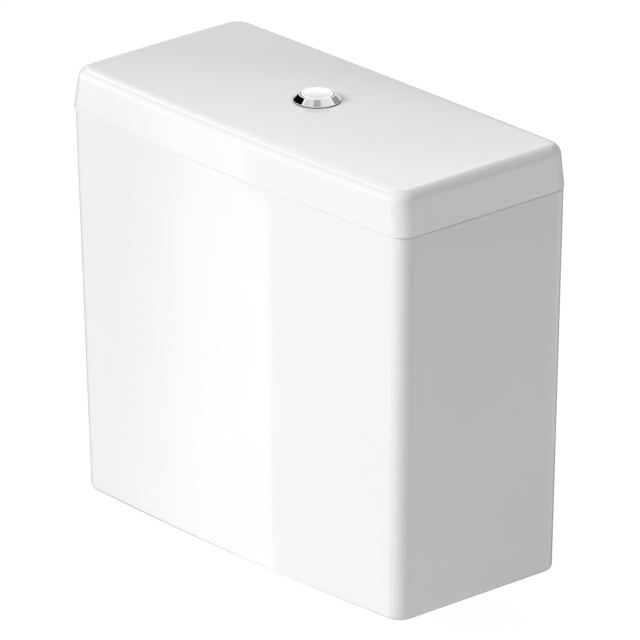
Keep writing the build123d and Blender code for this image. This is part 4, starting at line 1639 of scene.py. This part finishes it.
@dataclass(frozen=True)
class InletSizes:
    """Measures of the fill valve's shank and nut."""

    thread: Thread = Thread(10.48 * MM, 1.814 * MM, 0.9 * MM, sides=60)
    tip: float = 0.5 * MM
    run_out: float = 1.5 * MM
    bore: float = 6.5 * MM
    flange: float = 17.0 * MM
    flange_thickness: float = 4.0 * MM
    spigot: float = 11.0 * MM
    edge: float = 0.5 * MM
    nut: NutSizes = NutSizes(15.59 * MM, 10.68 * MM)


class FillValve(SubAssembly):
    """Inlet shank, riser, head, lever and float of the fill valve."""

    sizes = InletSizes()

    def build(self) -> None:
        """Build the threaded shank and its nut and dress the rest."""
        book = self.shop.book
        low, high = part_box("inlet_backnut")
        self.axis = Vector(((low.x + high.x) / 2, 0, 0))
        self.build_shank()
        nut = hexagon_nut("inlet_nut", (low, high), self.sizes.nut, self.axis)
        self.seat(nut, "inlet_backnut", book.white)
        self.keep(book.seal_and_shade, "inlet_washer")
        self.keep(book.seal_and_shade, "diaphragm", care=NodeCare(bevel=0.2 * MM))
        self.keep(book.pale, "inlet_filter", care=NodeCare(bevel=0.0))
        self.keep(book.pale, "float_cup")
        self.keep(book.white, "fill_riser", "fill_head", "float_lever", "adjusting_rod")
        self.keep(book.blue, "riser_clip", "fill_cap", "rod_collars")
        self.keep(book.steel, "lever_pin", care=NodeCare(bevel=0.15 * MM))

    def build_shank(self) -> None:
        """Build the shank with its half-inch thread and flange."""
        sizes = self.sizes
        thread = sizes.thread
        low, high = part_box("inlet_shank")
        flange_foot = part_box("inlet_washer")[1].z
        flange_top = flange_foot + sizes.flange_thickness
        section = [
            (sizes.bore, low.z),
            (thread.root, low.z),
            *thread.shank(low.z + sizes.tip, flange_foot, sizes.run_out),
            (sizes.flange, flange_foot),
            (sizes.flange, flange_top - sizes.edge),
            (sizes.flange - sizes.edge, flange_top),
            (sizes.spigot, flange_top),
            (sizes.spigot, high.z - sizes.edge),
            (sizes.spigot - sizes.edge, high.z),
            (sizes.bore, high.z),
        ]
        shank = thread.turned("threaded_shank", section, self.axis)
        self.seat(shank, "inlet_shank", self.shop.book.white)


@dataclass(frozen=True)
class BoltSizes:
    """Measures of the coupling bolts and their nuts."""

    from_centre: float = 75.0 * MM
    thread: Thread = Thread(4.0 * MM, 1.25 * MM, 0.6 * MM, rows=6, sides=36)
    tip: float = 0.8 * MM
    apothem: float = 6.495 * MM
    chamfer: float = 0.5 * MM
    head_height: float = 5.3 * MM
    head_skip: float = 2.0 * MM
    head_rows: int = 5
    nut_bore: float = 4.2 * MM
    nut_rows: int = 6
    nut_sides: int = 48

    @property
    def centres(self) -> list[Vector]:
        """Point on the axis of each bolt."""
        return [Vector((side * self.from_centre, 0, 0)) for side in (-1, 1)]


class Couplings(SubAssembly):
    """Coupling bolts, nuts, washers and seals, and the thick gasket to the pan."""

    sizes = BoltSizes()

    def build(self) -> None:
        """Build bolts and nuts and dress the rest."""
        book = self.shop.book
        self.build_bolts()
        self.build_nuts()
        self.keep(book.seal_and_shade, "bolt_seals")
        self.keep(book.steel, "bolt_washers", care=NodeCare(bevel=0.2 * MM))
        self.keep(book.foam, "coupling_gasket", care=NodeCare(bevel=1.2 * MM, segments=3))

    def build_bolts(self) -> None:
        """Build both bolts as one piece, with no chamfer under their heads."""
        sizes = self.sizes
        thread = sizes.thread
        low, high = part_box("coupling_bolts")
        head_foot = high.z - sizes.head_height
        flats = Hexagon(sizes.apothem, sizes.chamfer, head_foot - sizes.head_skip, high.z)

        def shape(angle: float, radius: float, level: float) -> float:
            """Cut the flats and the thread into one bolt."""
            return thread.shape(angle, flats.shape(angle, radius, level), level)

        section = [
            (0.0, low.z),
            (thread.crest - sizes.tip, low.z),
            *thread.stretch(low.z + sizes.tip, head_foot),
            *flats.stretch(head_foot, sizes.head_height, sizes.head_rows),
            (0.0, high.z),
        ]
        bolts = turned(
            "threaded_bolts", section, sizes.centres, thread.sides, shape, thread.sharp_angle
        )
        self.seat(bolts, "coupling_bolts", self.shop.book.brass)

    def build_nuts(self) -> None:
        """Build both nuts as one piece."""
        sizes = self.sizes
        low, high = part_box("bolt_nuts")
        flats = Hexagon(sizes.apothem, sizes.chamfer, low.z, high.z)
        section = [
            (sizes.nut_bore, low.z),
            *flats.stretch(low.z, high.z - low.z, sizes.nut_rows),
            (sizes.nut_bore, high.z),
        ]
        nuts = turned(
            "bolt_hexagons", section, sizes.centres, sizes.nut_sides, flats.shape, NUT_SHARP
        )
        self.seat(nuts, "bolt_nuts", self.shop.book.brass)


# Studio


@dataclass(frozen=True)
class PhotoView:
    """Place of the camera that matches the photograph."""

    lens: float = 589.0
    sensor: float = 36.0
    azimuth: float = 48.48
    elevation: float = 21.53
    distance: float = 8.04
    aim_right: float = -2.15 * MM
    aim_up: float = 133.88 * MM
    aim_level: float = 317.8 * MM
    clip_end: float = 100.0


@dataclass(frozen=True)
class SkyPatch:
    """Round patch of the surroundings, seen only in glaze and chrome."""

    toward: Coords
    inner: float
    outer: float
    level: float


@dataclass(frozen=True)
class Surroundings:
    """What glaze and chrome mirror of the studio over the floor."""

    level: float = 0.9
    patches: tuple[SkyPatch, ...] = (
        SkyPatch((-0.75, 0.66, 0.35), 14.0, 24.0, 1.2),
        SkyPatch((-0.70, -0.02, 0.715), 8.0, 12.0, 2.2),
        SkyPatch((-0.31, -0.55, 0.78), 12.0, 16.0, 0.83),
        SkyPatch((0.51, 0.37, 0.78), 14.0, 18.0, 0.95),
        SkyPatch((0.32, -0.285, 0.90), 11.0, 15.0, 0.51),
        SkyPatch((0.12, 0.89, 0.44), 22.0, 27.0, 0.36),
        SkyPatch((-0.70, -0.41, 0.59), 14.5, 16.5, 0.0),
        SkyPatch((-0.87, -0.15, 0.38), 14.5, 16.5, 0.0),
        SkyPatch((-0.98, 0.13, 0.16), 14.5, 16.5, 0.0),
        SkyPatch((-0.50, -0.50, 0.70), 2.0, 4.0, 1.35),
        SkyPatch((0.38, 0.68, 0.635), 2.0, 4.0, 1.35),
    )


@dataclass(frozen=True)
class BackCard:
    """Bright card behind the cistern, seen only in glaze and chrome."""

    toward: Coords = (-0.749, 0.663, 0.0)
    away: float = 0.50
    half_width: float = 0.27
    foot: float = 0.40
    head: float = 1.00
    peak: float = 1.9
    levels: Stops = (
        (0.0, 0.62), (0.125, 0.66), (0.20, 0.98), (0.26, 1.18), (0.36, 1.42), (0.43, 1.9),
        (1.0, 1.9),
    )


@dataclass(frozen=True)
class FloorSheen:
    """How bright the floor looks where glaze and chrome mirror it."""

    right_edge: Coords = (-0.038, -0.162, 0.0)
    right_normal: Coords = (-0.6774, 0.7356, 0.0)
    left_edge: Coords = (-0.275, -0.156, 0.0)
    left_normal: Coords = (0.615, -0.789, 0.0)
    peak: float = 2.06
    panel: Stops = (
        (0.0, 1.86), (0.18, 1.70), (0.35, 1.55), (0.47, 1.42), (0.53, 1.2),
        (0.706, 0.66), (0.82, 0.38), (0.96, 0.1), (1.0, 0.06),
    )
    plain: float = 0.95
    panel_end: tuple[float, float] = (-0.672, -0.684)
    far_start: tuple[float, float] = (-0.79, -0.80)
    far_gain: float = 0.67
    far_lift: float = 0.42
    side_reach: float = 2.0
    beside: Stops = ((0.12, 1.45), (0.30, 0.98), (0.44, 0.50), (0.55, 0.6), (0.9, 1.6))
    side_start: float = 0.19
    # Under the object's footprint the mirrored floor is darkened: a painted shadow that glaze and
    # chrome mirror along the lower edges
    behind_way: Coords = (0.66, 0.75, 0.0)
    behind_start: float = 0.064
    behind_blend: float = 0.006
    painted_shadow_level: float = 0.2


@dataclass(frozen=True)
class LightPlan:
    """Strength and place of each light."""

    ambient: float = 0.440
    tint: Color = (0.99, 0.995, 1.0)
    key_strength: float = 2.25
    key_angle: float = 28.0
    key_from: Coords = (-0.442, -1.0, 0.64)
    key_distance: float = 3.0
    floor_tone: float = 0.74
    floor_glow: float = 0.92
    floor_white: float = 1.06
    floor_half: float = 6.0


class Studio:
    """Camera, floor, lamps and surroundings."""

    view = PhotoView()
    lights = LightPlan()
    sheen = FloorSheen()
    card = BackCard()
    sky = Surroundings()

    def build(self) -> None:
        """Set up the whole studio."""
        self.place_camera()
        self.lay_floor(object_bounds()[0].z)
        self.stand_card()
        self.hang_lamp()
        self.surround()
        bpy.context.scene.view_settings.view_transform = "Standard"

    def place_camera(self) -> None:
        """Put the camera where the photograph was taken from."""
        view = self.view
        turn = math.radians(view.azimuth)
        tilt = math.radians(view.elevation)
        right = Vector((math.cos(turn), math.sin(turn), 0))
        flat = math.cos(tilt)
        back = Vector((math.sin(turn) * flat, -math.cos(turn) * flat, math.sin(tilt)))
        up = back.cross(right)
        data = bpy.data.cameras.new("photo camera")
        data.lens = view.lens
        data.sensor_width = view.sensor
        data.clip_end = view.clip_end
        camera = bpy.data.objects.new("photo camera", data)
        bpy.context.scene.collection.objects.link(camera)
        aim = Vector((0, 0, view.aim_level))
        camera.location = aim + back * view.distance - right * view.aim_right - up * view.aim_up
        camera.rotation_mode = "QUATERNION"
        camera.rotation_quaternion = (-back).to_track_quat("-Z", "Y")
        bpy.context.scene.camera = camera

    def sheet(self, name: str, corners: Sequence[Vector]) -> tuple[Piece, Bench]:
        """Add a flat sheet of the studio with an empty material.

        Args:
            name: Name of the sheet.
            corners: Its four corners.

        Returns:
            The sheet and the bench of its material.
        """
        mesh = bpy.data.meshes.new(name)
        mesh.from_pydata(corners, [], [(0, 1, 2, 3)])
        sheet = bpy.data.objects.new(name, mesh)
        bpy.context.scene.collection.objects.link(sheet)
        material = bpy.data.materials.new(name)
        material.use_nodes = True
        mesh.materials.append(material)
        sheet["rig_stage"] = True
        return sheet, Bench(material.node_tree)

    def lay_floor(self, level: float) -> None:
        """Lay the white floor, which keeps a soft shadow of the object.

        Args:
            level: Height of the floor.
        """
        lights = self.lights
        half = lights.floor_half
        corners = [
            Vector((x * half, y * half, level)) for x, y in ((-1, -1), (1, -1), (1, 1), (-1, 1))
        ]
        bench = self.sheet("floor", corners)[1]
        tone = lights.floor_tone
        seen, glossy = bench.seen()
        strength = bench.blended(glossy, lights.floor_white, self.mirrored_floor(bench))
        matt = bench.place("BsdfDiffuse", {"Color": (tone, tone, tone, 1.0)})
        glow = bench.place("Emission", {"Color": WHITE, "Strength": strength})
        share = bench.math("MULTIPLY", seen, bench.blended(glossy, lights.floor_glow, 1.0))
        mix = bench.place("MixShader", {0: share, 1: matt.outputs[0], 2: glow.outputs[0]})
        bench.place("OutputMaterial", {"Surface": mix.outputs[0]})

    def mirrored_floor(self, bench: Bench) -> Socket:
        """Brightness of the floor by place, as glaze and chrome mirror it.

        Args:
            bench: Bench of the floor's material.

        Returns:
            The brightness.
        """
        sheen = self.sheen
        place = bench.place("NewGeometry").outputs["Position"]
        x = bench.beyond(place, ORIGIN, (1.0, 0.0, 0.0))
        y = bench.beyond(place, ORIGIN, (0.0, 1.0, 0.0))
        from_right = bench.beyond(place, sheen.right_edge, sheen.right_normal)
        from_left = bench.beyond(place, sheen.left_edge, sheen.left_normal)
        share = bench.math("DIVIDE", from_right, bench.math("ADD", from_right, from_left))
        panel = bench.ramp(share, sheen.panel, sheen.peak)
        outside = bench.math("LESS_THAN", from_right, 0.0)
        level = bench.blended(outside, panel, sheen.plain)
        ended = bench.between(y, *sheen.panel_end)
        level = bench.blended(ended, level, bench.math("MINIMUM", level, sheen.plain))
        whole = bench.blended(outside, panel, sheen.plain - sheen.far_lift / 2)
        far = bench.math("MULTIPLY", whole, sheen.far_gain)
        far = bench.math("ADD", far, sheen.far_lift)
        level = bench.blended(bench.between(y, *sheen.far_start), level, far)
        along_side = bench.math("DIVIDE", x, sheen.side_reach)
        beside = bench.ramp(along_side, sheen.beside, sheen.peak)
        to_side = bench.math("GREATER_THAN", x, sheen.side_start)
        level = bench.blended(to_side, level, beside)
        # Painted shadow: the mirrored floor is darkened under the object's footprint
        depth = bench.beyond(place, ORIGIN, sheen.behind_way)
        painted_shadow = bench.between(depth, sheen.behind_start, sheen.behind_start + sheen.behind_blend)
        before_side = bench.math("LESS_THAN", x, sheen.side_start)
        painted_shadow = bench.math("MULTIPLY", painted_shadow, before_side)
        past_front = bench.math("GREATER_THAN", y, -sheen.side_start / 2)
        painted_shadow = bench.math("MULTIPLY", painted_shadow, past_front)
        return bench.blended(painted_shadow, level, sheen.painted_shadow_level)

    def stand_card(self) -> None:
        """Stand the card that the lid's top mirrors, which lights nothing."""
        card = self.card
        middle = Vector(card.toward) * card.away
        across = Vector((-card.toward[1], card.toward[0], 0.0)) * card.half_width
        corners = [
            middle + across * side + Vector((0, 0, level))
            for side, level in ((-1, card.foot), (1, card.foot), (1, card.head), (-1, card.head))
        ]
        sheet, bench = self.sheet("back card", corners)
        sheet.visible_camera = False
        sheet.visible_diffuse = False
        sheet.visible_shadow = False
        place = bench.place("NewGeometry").outputs["Position"]
        upward = (0.0, 0.0, 1.0 / (card.head - card.foot))
        height = bench.beyond(place, (0.0, 0.0, card.foot), upward)
        strength = bench.ramp(height, card.levels, card.peak)
        glow = bench.place("Emission", {"Color": WHITE, "Strength": strength})
        bench.place("OutputMaterial", {"Surface": glow.outputs[0]})

    def hang_lamp(self) -> None:
        """Hang the soft key lamp, which lights the object and shows in no mirror."""
        lights = self.lights
        toward = Vector(lights.key_from)
        data = bpy.data.lights.new("key lamp", "SUN")
        data.energy = lights.key_strength
        data.angle = math.radians(lights.key_angle)
        lamp = bpy.data.objects.new("key lamp", data)
        lamp.visible_glossy = False
        bpy.context.scene.collection.objects.link(lamp)
        lamp.location = toward * lights.key_distance
        lamp.rotation_mode = "QUATERNION"
        lamp.rotation_quaternion = (-toward).to_track_quat("-Z", "Y")

    def surround(self) -> None:
        """Give the world its light, white for the camera and patches for mirrors."""
        world = bpy.data.worlds.new("surroundings")
        bpy.context.scene.world = world
        world.use_nodes = True
        bench = Bench(world.node_tree)
        way = bench.place("TexCoord").outputs["Generated"]
        level: object = self.sky.level
        for patch in self.sky.patches:
            near = bench.beyond(way, ORIGIN, Vector(patch.toward).normalized())
            outer, inner = (math.cos(math.radians(edge)) for edge in (patch.outer, patch.inner))
            level = bench.blended(bench.between(near, outer, inner), level, patch.level)
        seen, glossy = bench.seen()
        strength = bench.blended(glossy, 1.0, level)
        light = bench.place(
            "Background", {"Color": (*self.lights.tint, 1.0), "Strength": self.lights.ambient}
        )
        white = bench.place("Background", {"Color": WHITE, "Strength": strength})
        mix = bench.place("MixShader", {0: seen, 1: light.outputs[0], 2: white.outputs[0]})
        bench.place("OutputWorld", {"Surface": mix.outputs[0]})


def main() -> None:
    """Dress the cistern and set up the studio."""
    logging.basicConfig(level=logging.INFO, format="%(name)s %(message)s")
    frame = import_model()
    shop = FinishShop(FinishBook())
    for part in (TankShell, LidShell, LidButton, ButtonRod, FlushValve, FillValve, Couplings):
        part(shop, frame["nodes"]).build()
        log.info("%s done", part.__name__)
    Studio().build()


if __name__ == "__main__":
    main()
